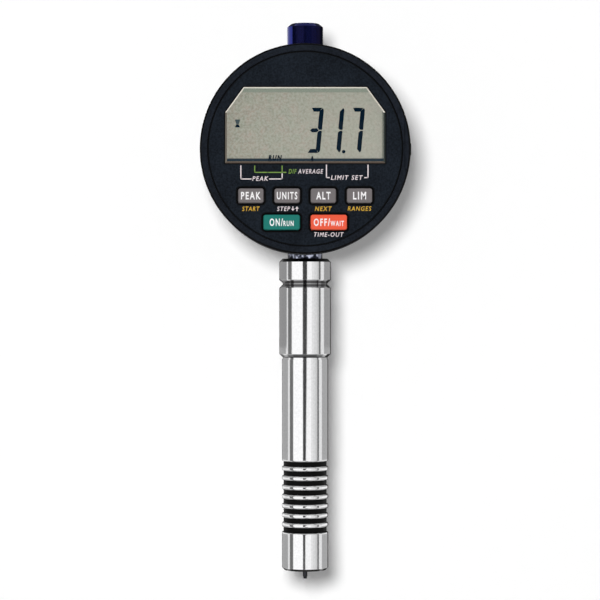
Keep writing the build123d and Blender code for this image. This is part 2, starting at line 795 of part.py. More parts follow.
def linear_scale():
    middle = (carrier_bottom + carrier_top) / 2
    heights = (middle - SCALE_LENGTH / 2, middle + SCALE_LENGTH / 2)
    depths = (CARRIER_BACK, CARRIER_BACK + SCALE_THICKNESS)
    return block((-SCALE_WIDTH / 2, SCALE_WIDTH / 2), depths, heights)


def reader_board():
    outline = Pos(0, encoder_y) * Rectangle(READER_WIDTH, reader_height)
    body = slab(outline, -reader_back, -reader_front)
    for x, y in reader_post_places():
        body -= spot(PAN_SCREW_DIA + 2 * FIT, x, y, -reader_back, -reader_front)
    return body


def reader_screws():
    screw = pan_screw(READER_SCREW_LENGTH)
    return joined(HEAD * Pos(x, y, -reader_back) * screw for x, y in reader_post_places())


def guide_rod():
    return rod(ROD_DIA, rod_bottom, rod_bottom + ROD_LENGTH, ROD_OFFSET)


def spindle_spring():
    ends = (carrier_top, top_boss_bottom)
    return coil(RETURN_SPRING_DIA, RETURN_SPRING_WIRE, *ends, RETURN_SPRING_TURNS)


def signal_flex():
    """Flat flexible lead from the reader board, past the carrier and through the hub."""
    half = FLEX_WIDTH / 2
    heights = (head_z - half, head_z + half)
    lane = (carrier_front + case_inner) / 2
    near, far = -lane - FLEX_THICKNESS / 2, -lane + FLEX_THICKNESS / 2
    left = -FLEX_OFFSET
    body = block((left - FLEX_THICKNESS, left), (near, reader_front), heights)
    body += block((left - FLEX_THICKNESS, FLEX_THICKNESS / 2), (near, far), heights)
    tail = (-board_back + REST_GAP, far)
    return body + block((-FLEX_THICKNESS / 2, FLEX_THICKNESS / 2), tail, heights)


# Hub that the display turns on


def turn_hub():
    return HEAD * tube(hub_dia, hub_bore_dia, case_inner, hub_front)


def hub_washer():
    """Conical spring washer between the turning plate and the nut."""
    inner, outer = hub_dia / 2 + RUN, hub_washer_dia / 2
    rise = HUB_WASHER_HEIGHT - HUB_WASHER_THICKNESS
    return HEAD * turned(
        (inner, washer_back + rise),
        (outer, washer_back),
        (outer, washer_back + HUB_WASHER_THICKNESS),
        (inner, nut_back),
    )


def hub_nut():
    """Ring nut on the hub, with two slots for a pin spanner."""
    body = tube(hub_nut_dia, hub_dia + 2 * FIT, nut_back, nut_back + HUB_NUT_HEIGHT)
    half = HUB_NUT_SLOT / 2
    depths = (nut_back + HUB_NUT_HEIGHT / 2, nut_back + HUB_NUT_HEIGHT)
    slot = block((-hub_nut_dia, hub_nut_dia), (-half, half), depths)
    return HEAD * (body - slot)


def slip_ring():
    """Film ring that fills the gap between the rear case and the turning plate."""
    outer = case_r - CASE_EDGE
    return HEAD * tube(2 * outer, 2 * (outer - SLIP_RING_WIDTH), CASE_FRONT + FIT, plate_back - FIT)


# Display housing


def window_outline():
    shoulder, corner = window_top - WINDOW_CUT_HEIGHT, window_side - WINDOW_CUT_WIDTH
    right = [(window_side, window_bottom), (window_side, shoulder), (corner, window_top)]
    left = [(-x, y) for x, y in reversed(right)]
    return Polygon(*right, *left, align=None)


def grown(outline, amount):
    return offset(outline, amount, kind=Kind.INTERSECTION)


def key_outline(key, margin=0.0):
    x, y, width, height = KEYS[key]
    size = (width + 2 * margin, height + 2 * margin)
    return Pos(x, y) * RectangleRounded(*size, KEY_ROUND + max(margin, 0))


def housing_body():
    """The housing's outer form, before it is hollowed and cut."""
    body = HEAD * rod(HOUSING_DIA, plate_back, rim_front)
    front_edge = body.edges().filter_by(GeomType.CIRCLE).sort_by(Axis.Y)[0]
    return fillet(front_edge, HOUSING_EDGE)


def drawer_block(gap=0.0):
    """The part of the housing's side that belongs to the drawer, grown by a gap."""
    left, low, high = seam_x - gap, drawer_bottom - gap, drawer_top + gap
    outline = Polygon((left, low), (HOUSING_DIA, low), (HOUSING_DIA, high), (left, high), align=None)
    corner = outline.vertices().sort_by(Axis.X)[:2].sort_by(Axis.Y)[0]
    return slab(fillet(corner, DRAWER_ROUND + gap), tray_back - gap, rim_front + HOUSING_EDGE)


def tray_outline(gap=0.0):
    """Front view of the drawer's tray, grown by a gap above, below and at its inner end."""
    reach = tray_reach + gap
    left, right = tray_left - gap, seam_x + DRAWER_LAND / 2
    low, high = DRAWER_RISE - reach, DRAWER_RISE + reach
    return Polygon((left, low), (right, low), (right, high), (left, high), align=None)


def port_outline(inset=0.0):
    """The data port seen along X, as (along the depth, up)."""
    size = (PORT_DEPTH - 2 * inset, PORT_HEIGHT - 2 * inset)
    return RectangleRounded(*size, max(PORT_ROUND - inset, PORT_ROUND / 4))


def port_prism(inset, outer_x, inner_x):
    """The port's outline as a solid between two places along X."""
    origin = (outer_x, -port_depth, head_z)
    place = Plane(origin=origin, x_dir=(0, 1, 0), z_dir=(1, 0, 0)).location
    return place * extrude(port_outline(inset), inner_x - outer_x)


def plate_screw_places():
    reach, turn = housing_bore_r - PLATE_BOSS_INSET, math.radians(PLATE_SCREW_ANGLE)
    return four_ways(reach * math.cos(turn), reach * math.sin(turn))


def bezel_housing():
    body = housing_body()
    body -= HEAD * rod(2 * housing_bore_r, plate_back, wall_back)
    body -= HEAD * rod(2 * (housing_r - RIM_WIDTH), wall_front, rim_front)
    bore = HEAD * rod(2 * housing_bore_r + HOUSING_WALL, plate_back, wall_back)
    for x, y in plate_screw_places():
        body += spot(PLATE_BOSS_DIA, x, y, plate_front, board_back - STEP_GAP) & bore
        body -= HEAD * Pos(x, y, plate_back) * flat_screw_hole(PLATE_SCREW_LENGTH)
    body -= slab(grown(window_outline(), FIT), wall_back, rim_front)
    for key in KEYS:
        body -= slab(key_outline(key, SLIDE), wall_back, rim_front)
    body -= drawer_block(SLIDE)
    body -= slab(tray_outline(SLIDE), tray_back - SLIDE, cell_front + SLIDE)
    body -= port_prism(-SLIDE, -HOUSING_DIA, port_seat_x + FIT)
    return body - port_prism(PORT_BODY_INSET - SLIDE, -HOUSING_DIA, jack_mouth_x)


def face_overlay():
    """Thin printed sheet in the bezel's recess, open at the window and the keys."""
    outline = Circle(overlay_r) - grown(window_outline(), FIT)
    for key in KEYS:
        outline -= key_outline(key, KEY_MOAT)
    return slab(outline, wall_front, face_front)


def display_window():
    pane = slab(window_outline(), wall_back, window_front)
    front = pane.faces().sort_by(Axis.Y)[0]
    return chamfer(front.edges(), WINDOW_BEVEL)


def lcd_outline():
    return grown(window_outline(), LCD_MARGIN)


def lcd_panel():
    return slab(lcd_outline(), lcd_back, lcd_front)


def holder_lug_places():
    """One lug above the panel and two below it."""
    above = window_top + LCD_MARGIN + HOLDER_WALL + PAN_SCREW_DIA
    below = window_bottom - LCD_MARGIN - HOLDER_WALL - PAN_SCREW_DIA / 2
    side = tray_left - HOLDER_LUG_ROOM
    return [(0, above), (-side, below), (side, below)]


def lcd_holder():
    outline = grown(lcd_outline(), HOLDER_WALL)
    pocket = grown(lcd_outline(), LCD_GAP)
    body = slab(outline, board_front, wall_back)
    for x, y in holder_lug_places():
        body += spot(HOLDER_LUG_DIA, x, y, board_front, wall_back)
    body -= slab(pocket, board_front, wall_back)
    hole_end = board_back + BOARD_SCREW_LENGTH + FIT
    for x, y in holder_lug_places():
        body -= spot(PAN_SCREW_DIA + 2 * FIT, x, y, board_front, hole_end)
    return body


def contact_strips():
    """Two elastomer strips that join the panel's edges to the board."""
    strip = Rectangle(STRIP_LENGTH, STRIP_WIDTH)
    heights = (window_top - STRIP_WIDTH, window_bottom + STRIP_WIDTH)
    return joined(slab(Pos(0, y) * strip, board_front, lcd_back) for y in heights)


def display_board():
    body = HEAD * rod(2 * board_r, board_back, board_front)
    for x, y in plate_screw_places():
        body -= spot(PLATE_BOSS_DIA + 2 * SLIDE, x, y, board_back, board_front)
    for x, y in holder_lug_places():
        body -= spot(PAN_SCREW_DIA + 2 * FIT, x, y, board_back, board_front)
    return body


def board_screws():
    screw = pan_screw(BOARD_SCREW_LENGTH)
    return joined(HEAD * Pos(x, y, board_back) * screw for x, y in holder_lug_places())


def controller_chip():
    outline = Pos(CHIP_X, CHIP_FROM_EDGE - board_r) * Rectangle(CHIP_SIZE, CHIP_SIZE)
    return slab(outline, board_back - CHIP_HEIGHT, board_back)


def crystal():
    """Small can that lies flat on the board's back."""
    height = head_z - board_r + CRYSTAL_FROM_EDGE
    origin = (CRYSTAL_X, -board_back + CRYSTAL_DIA / 2 + FIT, height)
    place = Plane(origin=origin, x_dir=(0, 1, 0), z_dir=(1, 0, 0)).location
    return place * extrude(Circle(CRYSTAL_DIA / 2), CRYSTAL_LENGTH)


def housing_plate():
    body = HEAD * rod(2 * (housing_bore_r - FIT), plate_back, plate_front)
    body -= HEAD * rod(hub_dia + 2 * RUN, plate_back, plate_front)
    for x, y in plate_screw_places():
        body -= HEAD * Pos(x, y, plate_back) * flat_screw_hole(PLATE_SCREW_LENGTH)
    return body


def plate_screws():
    screw = flat_screw(PLATE_SCREW_LENGTH)
    return joined(HEAD * Pos(x, y, plate_back) * screw for x, y in plate_screw_places())


# Keys


def key_cap(key):
    """A moulded key with rounded edges and a flange that stays behind the housing's front."""
    body = slab(key_outline(key), key_flange_back, key_front)
    front = body.faces().sort_by(Axis.Y)[0]
    body = fillet(front.edges(), KEY_EDGE)
    return body + slab(key_outline(key, KEY_FLANGE), key_flange_back, key_flange_front)


def keypad_mat():
    """Silicone mat on the board with a raised pad under each key."""
    reach = 1.5 * key_pitch + KEY_WIDTH / 2 + MAT_MARGIN
    row = Pos(0, key_row) * Rectangle(2 * reach, KEY_HEIGHT + 2 * MAT_MARGIN)
    wide_reach = (wide_key_pitch + WIDE_KEY_WIDTH) / 2
    top = key_row - KEY_HEIGHT / 2
    low = wide_key_row - WIDE_KEY_HEIGHT / 2
    wide_row = Pos(0, (top + low) / 2) * Rectangle(2 * wide_reach, top - low)
    base_front = board_front + MAT_THICKNESS
    body = slab(row + wide_row, board_front, base_front)
    for x, y, width, height in KEYS.values():
        foot = Rectangle(width - 2 * PAD_BASE_INSET, height - 2 * PAD_BASE_INSET)
        roof = Rectangle(width - 2 * PAD_TOP_INSET, height - 2 * PAD_TOP_INSET)
        rise = Pos(0, 0, key_flange_back - REST_GAP - base_front)
        body += HEAD * Pos(x, y, base_front) * loft([foot, rise * roof])
    return body


# Battery drawer and data port


def battery_drawer():
    body = housing_body() & drawer_block()
    body += slab(tray_outline(), tray_back, tray_front) - drawer_block()
    body -= spot(CELL_DIA + 2 * CELL_GAP, cell_x, DRAWER_RISE, tray_back + TRAY_FLOOR, tray_front)
    middle = (tray_back + rim_front) / 2
    depths = (-middle - NAIL_RIB_LENGTH / 2, -middle + NAIL_RIB_LENGTH / 2)
    heights = (head_z - NAIL_RIB_HEIGHT / 2, head_z + NAIL_RIB_HEIGHT / 2)
    across = (housing_r - DRAWER_LAND / 2, housing_r + NAIL_RIB_PROUD)
    return body + block(across, depths, heights)


def coin_cell():
    """Coin cell with a narrower pole on its rear face."""
    outer = CELL_DIA / 2
    cell = turned(
        (0, 0),
        (outer - 2 * CELL_EDGE, 0),
        (outer - CELL_EDGE, CELL_EDGE),
        (outer, CELL_EDGE),
        (outer, CELL_THICKNESS - CELL_EDGE),
        (outer - CELL_EDGE, CELL_THICKNESS),
        (0, CELL_THICKNESS),
    )
    return HEAD * Pos(cell_x, DRAWER_RISE, cell_back) * cell


def battery_contacts():
    """Two leaf contacts under the board, just clear of the cell."""
    leaf = Rectangle(CONTACT_WIDTH, CONTACT_WIDTH)
    places = (cell_x - CONTACT_SPACING / 2, cell_x + CONTACT_SPACING / 2)
    start = board_back - CONTACT_HEIGHT
    return joined(slab(Pos(x, DRAWER_RISE) * leaf, start, board_back) for x in places)


def port_plug():
    """Flat cover with a tongue that plugs into the data jack."""
    body = port_prism(0, port_face_x, port_seat_x)
    body += port_prism(PORT_BODY_INSET, port_seat_x, jack_mouth_x)
    return body + port_prism(PORT_TONGUE_INSET, jack_mouth_x, jack_mouth_x + PORT_TONGUE)


def data_jack():
    """Socket on the back of the board, open towards the port."""
    half = PORT_HEIGHT / 2
    mouth = jack_mouth_x + SLIDE
    end = mouth + JACK_LENGTH
    body = block((mouth, end), (-board_back, -jack_back), (head_z - half, head_z + half))
    return body - port_prism(PORT_TONGUE_INSET - SLIDE, mouth, end - JACK_WALL)


PIECES = {
    "presser_foot": presser_foot,
    "guide_bush": guide_bush,
    "indenter": indenter,
    "plunger": plunger,
    "main_spring": main_spring,
    "spring_adjuster": spring_adjuster,
    "lower_barrel": lower_barrel,
    "grip_rings": grip_rings,
    "upper_barrel": upper_barrel,
    "stem_screw": stem_screw,
    "stem": stem,
    "stem_bush": stem_bush,
    "upper_bush": upper_bush,
    "contact_point": contact_point,
    "spindle": spindle,
    "dust_cap": dust_cap,
    "rear_case": rear_case,
    "back_gasket": back_gasket,
    "back_cover": back_cover,
    "back_screws": back_screws,
    "scale_carrier": scale_carrier,
    "carrier_screw": carrier_screw,
    "linear_scale": linear_scale,
    "reader_board": reader_board,
    "reader_screws": reader_screws,
    "guide_rod": guide_rod,
    "spindle_spring": spindle_spring,
    "signal_flex": signal_flex,
    "turn_hub": turn_hub,
    "hub_washer": hub_washer,
    "hub_nut": hub_nut,
    "slip_ring": slip_ring,
    "bezel_housing": bezel_housing,
    "face_overlay": face_overlay,
    "display_window": display_window,
    "lcd_panel": lcd_panel,
    "lcd_holder": lcd_holder,
    "contact_strips": contact_strips,
    "display_board": display_board,
    "board_screws": board_screws,
    "controller_chip": controller_chip,
    "crystal": crystal,
    "housing_plate": housing_plate,
    "plate_screws": plate_screws,
    "keypad_mat": keypad_mat,
    "battery_drawer": battery_drawer,
    "coin_cell": coin_cell,
    "battery_contacts": battery_contacts,
    "port_plug": port_plug,
    "data_jack": data_jack,
}


def main():
    os.makedirs("parts", exist_ok=True)
    for node, make in PIECES.items():
        export_step(make(), f"parts/{node}.step")
    for key in KEYS:
        export_step(key_cap(key), f"parts/{key}.step")


main()
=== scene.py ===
"""Looks of a hand-held digital durometer, built around its CAD frame."""
import json
from math import cos, pi, radians, sin, tan

import bmesh
import bpy
from mathutils import Matrix, Vector


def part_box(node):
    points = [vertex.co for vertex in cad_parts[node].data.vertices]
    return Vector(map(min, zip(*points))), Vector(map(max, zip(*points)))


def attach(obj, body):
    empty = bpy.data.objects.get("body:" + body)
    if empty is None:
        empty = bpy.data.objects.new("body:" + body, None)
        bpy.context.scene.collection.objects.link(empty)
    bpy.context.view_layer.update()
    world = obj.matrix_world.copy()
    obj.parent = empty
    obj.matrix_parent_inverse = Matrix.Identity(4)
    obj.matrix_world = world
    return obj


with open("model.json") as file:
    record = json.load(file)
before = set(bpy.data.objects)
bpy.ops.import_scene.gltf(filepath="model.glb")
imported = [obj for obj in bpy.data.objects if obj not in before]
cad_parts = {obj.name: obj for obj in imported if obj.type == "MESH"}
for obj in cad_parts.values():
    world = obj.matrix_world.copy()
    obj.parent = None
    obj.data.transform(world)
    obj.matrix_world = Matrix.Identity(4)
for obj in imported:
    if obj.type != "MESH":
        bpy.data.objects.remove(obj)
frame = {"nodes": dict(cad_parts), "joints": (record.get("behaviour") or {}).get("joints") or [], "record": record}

bl_info = {
    "name": "Digital durometer looks",
    "version": (1, 0, 0),
    "blender": (4, 5, 0),
    "location": "View3D > Sidebar > Durometer",
    "description": "Finishes, display reading, printed face and key legends of a digital durometer",
    "category": "Object",
}


def linear(code):
    """An sRGB hex colour as linear red, green and blue."""
    shares = [int(code[place:place + 2], 16) / 255 for place in (1, 3, 5)]
    return tuple(s / 12.92 if s <= 0.04045 else ((s + 0.055) / 1.055) ** 2.4 for s in shares)


# White of the room and the paper, and the black of painted shade
WHITE, SHADE_BLACK = linear("#ffffff"), linear("#040405")
MM = 0.001
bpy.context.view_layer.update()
HEAD = next(Vector(joint["pos_m"]) for joint in frame["joints"] if joint["name"] == "display_turn")
SLOT_OF = {part["node"]: part["material_slot"] for part in frame["record"]["subparts"]}

# Fronts of the pieces that carry print, as places on the Y axis
FACE_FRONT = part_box("face_overlay")[0].y
LCD_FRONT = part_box("lcd_panel")[0].y
INK_PROUD, INK_SUNK, SEGMENT_DEPTH = 0.006 * MM, 0.03 * MM, 0.04 * MM

# Gaps from the window and from other edges to the black lines that follow them, and between welded corners
WINDOW_GAP, LINE_GAP, WELD = 0.04 * MM, 0.01 * MM, 0.0005 * MM

# Steps along the curve of a dot, a letter, a key's corner, the face's rim, a curved card and a round card
DOT_STEPS, LETTER_STEPS, CORNER_STEPS, RIM_STEPS, CARD_STEPS, DISC_STEPS = 20, 3, 5, 120, 12, 32

SENSOR_MM = 36

# Stands what lies flat upright, so that it faces the camera
UPRIGHT = Matrix.Rotation(radians(90), 4, "X")

# Most of a noise pattern lies between these
NOISE_SPAN = (0.3, 0.7)

# Width in mm of the patches in which a metal's rings run on round it
ROUND_MM = 12

# Painted light and shade on the window's bevels: way to the light that they are painted lit by,
# and how far a bevel turns to it to be painted bright
BEVEL_LIGHT = (-0.25, 0, 0.97)
BRIGHT_BEVEL = (0.2, 0.25)

# Lit segments of each figure, lettered clockwise from the top bar, with g in the middle
FIGURES = {
    "0": "abcdef", "1": "bc", "2": "abdeg", "3": "abcdg", "4": "bcfg",
    "5": "acdfg", "6": "acdefg", "7": "abc", "8": "abcdefg", "9": "abcdfg", "-": "g",
}

# Words on each key and their widths in mm: a large one and, on a wide key, a small one
KEY_WORDS = {
    "key_hold": (("PEAK", 5.3),),
    "key_unit": (("UNITS", 5.5),),
    "key_second": (("ALT", 3.85),),
    "key_limit": (("LIM", 3.5),),
    "key_on": (("ON/", 3.55), ("RUN", 2.75)),
    "key_off": (("OFF/", 4.35), ("WAIT", 3.6)),
}

# Words below the keys: ink, width and drop from the key's middle in mm
UNDER_WORDS = {
    "key_hold": ("START", "yellow", 4.65, 3.47),
    "key_unit": ("STEP", "white", 3.5, 3.47),
    "key_second": ("NEXT", "yellow", 4.55, 3.47),
    "key_limit": ("RANGES", "yellow", 6.35, 3.42),
    "key_off": ("TIME-OUT", "white", 7.95, 3.25),
}

# Words below the window: ink, left and right end and height of their middle in mm from the head's centre
FACE_WORDS = {
    "PEAK": ("white", -14.15, -9.85, -8.0),
    "DIF": ("green", -4.45, -2.3, -6.09),
    "AVERAGE": ("white", -1.95, 4.8, -6.09),
    "LIMIT SET": ("white", 6.85, 15.4, -7.74),
}

# Brackets below the window: ink, left and right line, their tops, the foot and the ends of the gap in it,
# and where the last one's foot ends, in mm from the head's centre
BRACKETS = (
    ("white", (-17.2, -6.17), (-4.65, -6.75), -8.12, (-14.5, -9.5)),
    ("white", (5.66, 16.76), (-4.45, -4.45), -7.76, (6.4, 15.9)),
    ("green", (-13.5, -6.17), (-4.68, -4.68), -6.36, (-10.0, -10.0)),
)
LAST_FOOT = -5.2

# Arrows behind the word below one key: the room they take and the gap before them in mm
ARROW_KEY, ARROW_ROOM, ARROW_GAP = "key_unit", 1.9, 0.25

# Their wings as a share of their height, their step and their lines' width in wings, their tails in tips
ARROW_WING, ARROW_STEP, ARROW_LINE, ARROW_TAIL = 0.38, 2.3, 0.55, 0.8

# Small marks on the display in mm from the head's centre: a pointer, the two halves of an hourglass, and
# the left end, the right end and the middle height of the small word
POINTER = ((1.53, -3.2), (2.23, -3.2), (2.15, -2.5), (2.0, -1.88), (1.76, -1.88), (1.61, -2.5))
SAND = ((-18.85, 5.75), (-17.4, 5.75), (-17.85, 6.55), (-18.4, 6.55))
EMPTY_GLASS = ((-18.45, 6.6), (-17.8, 6.6), (-17.4, 7.85), (-18.85, 7.85))
MARK_PLACE = (-9.9, -6.25, -2.4)

# Height of the decimal point's middle as a share of its diameter
POINT_RISE = 0.35

# Shapes of the letters: boldness, lean and spacing
FACE_LETTERS = (0.014, 0.2, 1.25)
KEY_LETTERS = (0.028, 0.0, 1.3)
MARK_LETTERS = (0.045, 0.2, 1.3)

# Cards that only gloss sees: brightness or colour, first and last azimuth from the camera's side
# in degrees, radius, lowest and highest edge in metres
WARM = linear("#7c6c59")
CARDS = {
    "left_softbox": (1.3, -60, -10.6, 0.6, -0.25, 0.17),
    "right_softbox": (1.22, -2, 30, 1.0, -0.3, 0.13),
    "right_fade": (0.9, 41, 53, 0.6, -0.25, 0.17),
    "right_shade": (0.76, 53, 63, 0.6, -0.25, 0.17),
    "left_flag": (0.2, -82, -62, 0.5, -0.62, 0.13),
    "right_flag": (0.2, 63, 73, 0.5, -0.62, 0.13),
    "rear_flag": (0.2, 150, 172, 0.5, -0.62, 0.13),
    "high_left_flag": (0.2, -82, -62, 0.5, 0.28, 0.62),
    "high_right_flag": (0.2, 50, 73, 0.5, 0.28, 0.62),
    "low_middle_flag": (0.2, 0, 16, 0.5, -0.62, -0.2),
    "left_wall": (0.36, -153, -85, 0.055, 0.06, 0.125),
    "right_wall": (0.4, 88, 143, 0.055, 0.06, 0.125),
    "left_grip_wall": (0.48, -153, -90, 0.055, 0.0262, 0.06),
    "right_grip_wall": (0.5, 88, 143, 0.055, 0.0262, 0.06),
    "left_rib_wall": (1.1, -153, -85, 0.055, 0.006, 0.0262),
    "right_rib_wall": (1.15, 88, 143, 0.055, 0.006, 0.0262),
    "left_foot_wall": (0.48, -153, -90, 0.055, -0.04, 0.006),
    "right_foot_wall": (0.5, 88, 143, 0.055, -0.04, 0.006),
    "left_edge_wall": (0.12, -180, -153, 0.055, -0.04, 0.125),
    "right_edge_wall": (0.05, 143, 180, 0.055, -0.04, 0.125),
    "upper_front": (0.03, -90, 100, 0.65, 0.17, 0.27),
    "upper_left_strip": (WARM, -60, -8, 0.64, 0.195, 0.24),
    "upper_right_strip": (WARM, 42, 80, 0.64, 0.195, 0.24),
    "upper_right_wall": (WARM, 80, 108, 0.055, 0.13, 0.17),
    "upper_right_edge": (0.03, 108, 178, 0.055, 0.13, 0.17),
    "upper_rear": (0.1, 95, 265, 0.65, 0.27, 0.9),
}

# Dark flag in front of the object, narrower towards its foot: brightness, distance, straight left side, and
# right side at each height, in metres
FLAG_LEVEL, FLAG_DISTANCE, FLAG_LEFT = 0.07, 0.9, -0.172
FLAG_RIGHT = ((0.012, -0.14), (0.012, -0.089), (0.074, -0.01), (0.12, 0.021), (0.141, 0.075), (0.141, 0.25))

# Round cards below and above the object: brightness, height and radius in metres
ROUND_CARDS = {"floor_card": (0.25, -0.5, 0.45), "ceiling_card": (0.35, 0.9, 0.6)}

# Distant lamps: the setting that holds their brightness, softness in degrees and the way they shine
DISTANT_LAMPS = {
    "top_lamp": ("top_light", 20, (0.1, 0.1, -1.0)),
    "rear_lamp": ("rear_light", 40, (0.3, -1.0, -0.5)),
}


def size(name, description, mm):
    """A length that a user may change, given in millimetres."""
    return bpy.props.FloatProperty(
        name=name, description=description, default=mm * MM, unit="LENGTH", subtype="DISTANCE", precision=5)


def share(name, description, default):
    """A plain number that a user may change."""
    return bpy.props.FloatProperty(name=name, description=description, default=default, min=0.0)


def paint(name, description, code):
    """A colour that a user may change, given as sRGB hex."""
    return bpy.props.FloatVectorProperty(
        name=name, description=description, default=linear(code), subtype="COLOR", size=3, min=0.0, max=1.0)


class DurometerReading(bpy.types.PropertyGroup):
    """The reading and the small marks on the liquid crystal display."""

    number: bpy.props.StringProperty(
        name="Number", description="Figures shown on the display, with a point", default="31.7")
    mark: bpy.props.StringProperty(name="Mark", description="Small word under the figures", default="RUN")
    height: size("Figure height", "Height of the large figures", 12.08)
    width: size("Figure width", "Width of one figure before it is slanted", 3.2)
    pitch: size("Figure pitch", "Step from one figure to the next", 5.5)
    stroke: size("Stroke", "Width of an upright segment", 1.17)
    bar: size("Bar", "Height of a level segment", 1.05)
    gap: size("Segment gap", "Half the gap between the upper and lower segments", 0.13)
    corner: size("Segment corner", "Rounding of a segment's corners", 0.1)
    point: size("Point", "Diameter of the decimal point", 0.95)
    point_back: size("Point's place", "From the foot of the figure after it back to the point's middle", 1.43)
    slant: bpy.props.FloatProperty(
        name="Slant", description="Lean of the figures to the right", default=radians(5.3), subtype="ANGLE")
    right: size("Right edge", "Right edge of the last figure's foot, from the head's centre", 14.92)
    base: size("Base line", "Foot of the figures, from the head's centre", -1.08)
    mark_height: size("Mark height", "Height of the small word", 1.45)
    ink: paint("Segment colour", "Colour of a switched segment", "#021a2c")
    ink_faint: paint("Faint segment colour", "Colour of the emptied half of the hourglass", "#4d5a61")


class DurometerPrint(bpy.types.PropertyGroup):
    """The printed lines and words on the face and on the keys."""

    line: size("Line width", "Width of the bracket lines", 0.28)
    small: size("Small letters", "Height of the words on the face", 1.22)
    bold: size("Key letters", "Height of the words on the keys", 2.05)
    minor: size("Small key letters", "Height of the second word on a wide key", 1.42)
    word_gap: size("Word gap", "Gap between the two words on a wide key", 0.12)
    arrow: size("Arrow", "Height of the two small arrows", 1.25)
    border: size("Border", "Width of the black border round the window", 0.28)
    edge: size("Edge line", "Width of the black line at the face sheet's edge", 0.3)
    key_border: size("Key border", "Width of the black border round a key's opening", 0.2)
    key_inset: size("Key inset", "From the edge of a key's flange in to the edge of its opening", 0.1)
    key_corner: size("Key corner", "Rounding of the corners of a key's opening", 1.1)
    cut_width: size("Window cut's width", "Width of the window's cut corners", 4.9)
    cut_height: size("Window cut's height", "Height of the window's cut corners", 6.74)
    white: paint("White ink", "Ink of most words and lines", "#eadfe2")
    key_white: paint("Key ink", "Ink of the words on the keys", "#f6f4f5")
    green: paint("Green ink", "Ink of the second bracket", "#78994a")
    yellow: paint("Yellow ink", "Ink of the words below three keys", "#deb03e")
    black: paint("Black ink", "Ink of the borders", "#020304")


class DurometerFinish(bpy.types.PropertyGroup):
    """Colours of the finishes."""

    steel: paint("Polished steel", "Barrel, collar, stem and foot", "#e3e3e4")
    # Painted shade and painted reflections on the indicator's stem under the head
    oil: paint("Oiled steel", "Dark film on the indicator's stem", "#2c2f3a")
    oil_pale: paint("Oiled steel, bare", "Bare blotches of the indicator's stem", "#b4b8cc")
    tool_steel: paint("Tool steel", "Indenter, plunger and spindle", "#333437")
    spring_steel: paint("Spring steel", "Springs and spring washer", "#a6a7ab")
    oxide: paint("Black oxide", "Screws", "#48494c")
    bronze: paint("Sintered bronze", "Bushes", "#b58a52")
    brass: paint("Brass", "Spring adjuster, hub nut and battery contacts", "#d8b468")
    aluminium: paint("Aluminium", "Turning hub and scale carrier", "#d6d8da")
    blue: paint("Blue anodising", "Dust cap", "#2f3581")
    nickel: paint("Nickel", "Coin cell and crystal can", "#dcdcda")
    rubber: paint("Rubber", "Grip rings, gasket and plug", "#040404")
    case: paint("Case paint", "Rear case and its cover", "#15181e")
    plastic: paint("Black plastic", "Display housing and battery drawer", "#1d222a")
    face: paint("Face sheet", "Printed face around the window", "#1d232b")
    lcd: paint("Display ground", "Ground of the liquid crystal display", "#a3a598")
    lcd_pale: paint("Display ground, pale", "Paler grains of the display's ground", "#bab9b1")
    lcd_warm: paint("Display ground, warm", "Warm clouds of the display's ground", "#b09f97")
    lcd_dim: paint("Display ground, dim", "Dim grains of the display's ground", "#858a7d")
    # Tones along the display's edges: a greener band along the top, painted shade on the right, a dark band along
    # the foot
    lcd_seal: paint("Display seal", "Seal of the display glass along its top", "#90998f")
    lcd_side: paint("Display side", "Shaded right side of the display glass", "#5d645f")
    lcd_foot: paint("Display foot", "Dark foot of the display glass", "#1d2f3d")
    # Painted light and shade of the window's bevels
    bevel_bright: paint("Bevel, bright", "Upper bevels of the window", "#f2ecdf")
    bevel_left: paint("Bevel, left", "Left bevel of the window", "#7c756a")
    bevel_right: paint("Bevel, right", "Right bevel of the window", "#3f4642")
    bevel_low: paint("Bevel, low", "Lower bevel of the window", "#66594f")
    pane: paint("Window", "Clear pane over the display", "#fdfefc")
    pane_light: paint("Window, light", "Light that the pane lets through", "#fcfdfb")
    board: paint("Solder mask", "Circuit boards", "#0f5a2e")
    copper: paint("Covered copper", "Tracks under the solder mask", "#1d7a45")
    chip: paint("Moulding epoxy", "Controller chip", "#1c1c1d")
    amber: paint("Amber film", "Flexible cable", "#c07a1e")
    grey_key: paint("Grey key", "Four small keys", "#736e6f")
    green_key: paint("Green key", "Left wide key", "#1b756b")
    red_key: paint("Red key", "Right wide key", "#ef5d41")


class DurometerStage(bpy.types.PropertyGroup):
    """Camera, lights and backdrop."""

    distance: size("Camera distance", "From the barrel's axis to the camera", 640)
    height: size("Camera height", "Height of the camera above the presser foot", 74.06)
    side: size("Camera side", "Camera's place left or right of the barrel's axis", -1.4)
    view: size("View width", "Width of the picture at the barrel's axis", 164.94)
    gap: size("Backdrop gap", "From the barrel's axis back to the backdrop", 60)
    sheet: size("Backdrop size", "From the backdrop's middle to its edges", 160)
    key_light: share("Key light", "Brightness that the key light gives a white sheet", 0.76)
    key_side: size("Key light's side", "How far the key light stands to the left of the camera", 28)
    key_rise: size("Key light's rise", "How far the key light stands above the camera", 39)
    key_radius: size("Key light's radius", "Half the width of the key light", 31)
    top_light: share("Top light", "Brightness that the top light gives a white sheet", 0.35)
    rear_light: share("Rear light", "Brightness that the rear light gives a white sheet", 0.9)
    sky: share("Sky", "Brightness of the soft light from all around", 0.22)
    lift: share("Paper lift", "Glow that keeps the unshaded paper white", 0.06)


def per_mm(mm):
    """Scale of a pattern on Object coordinates whose grains are this many millimetres wide."""
    return 1.0 / (mm * MM)


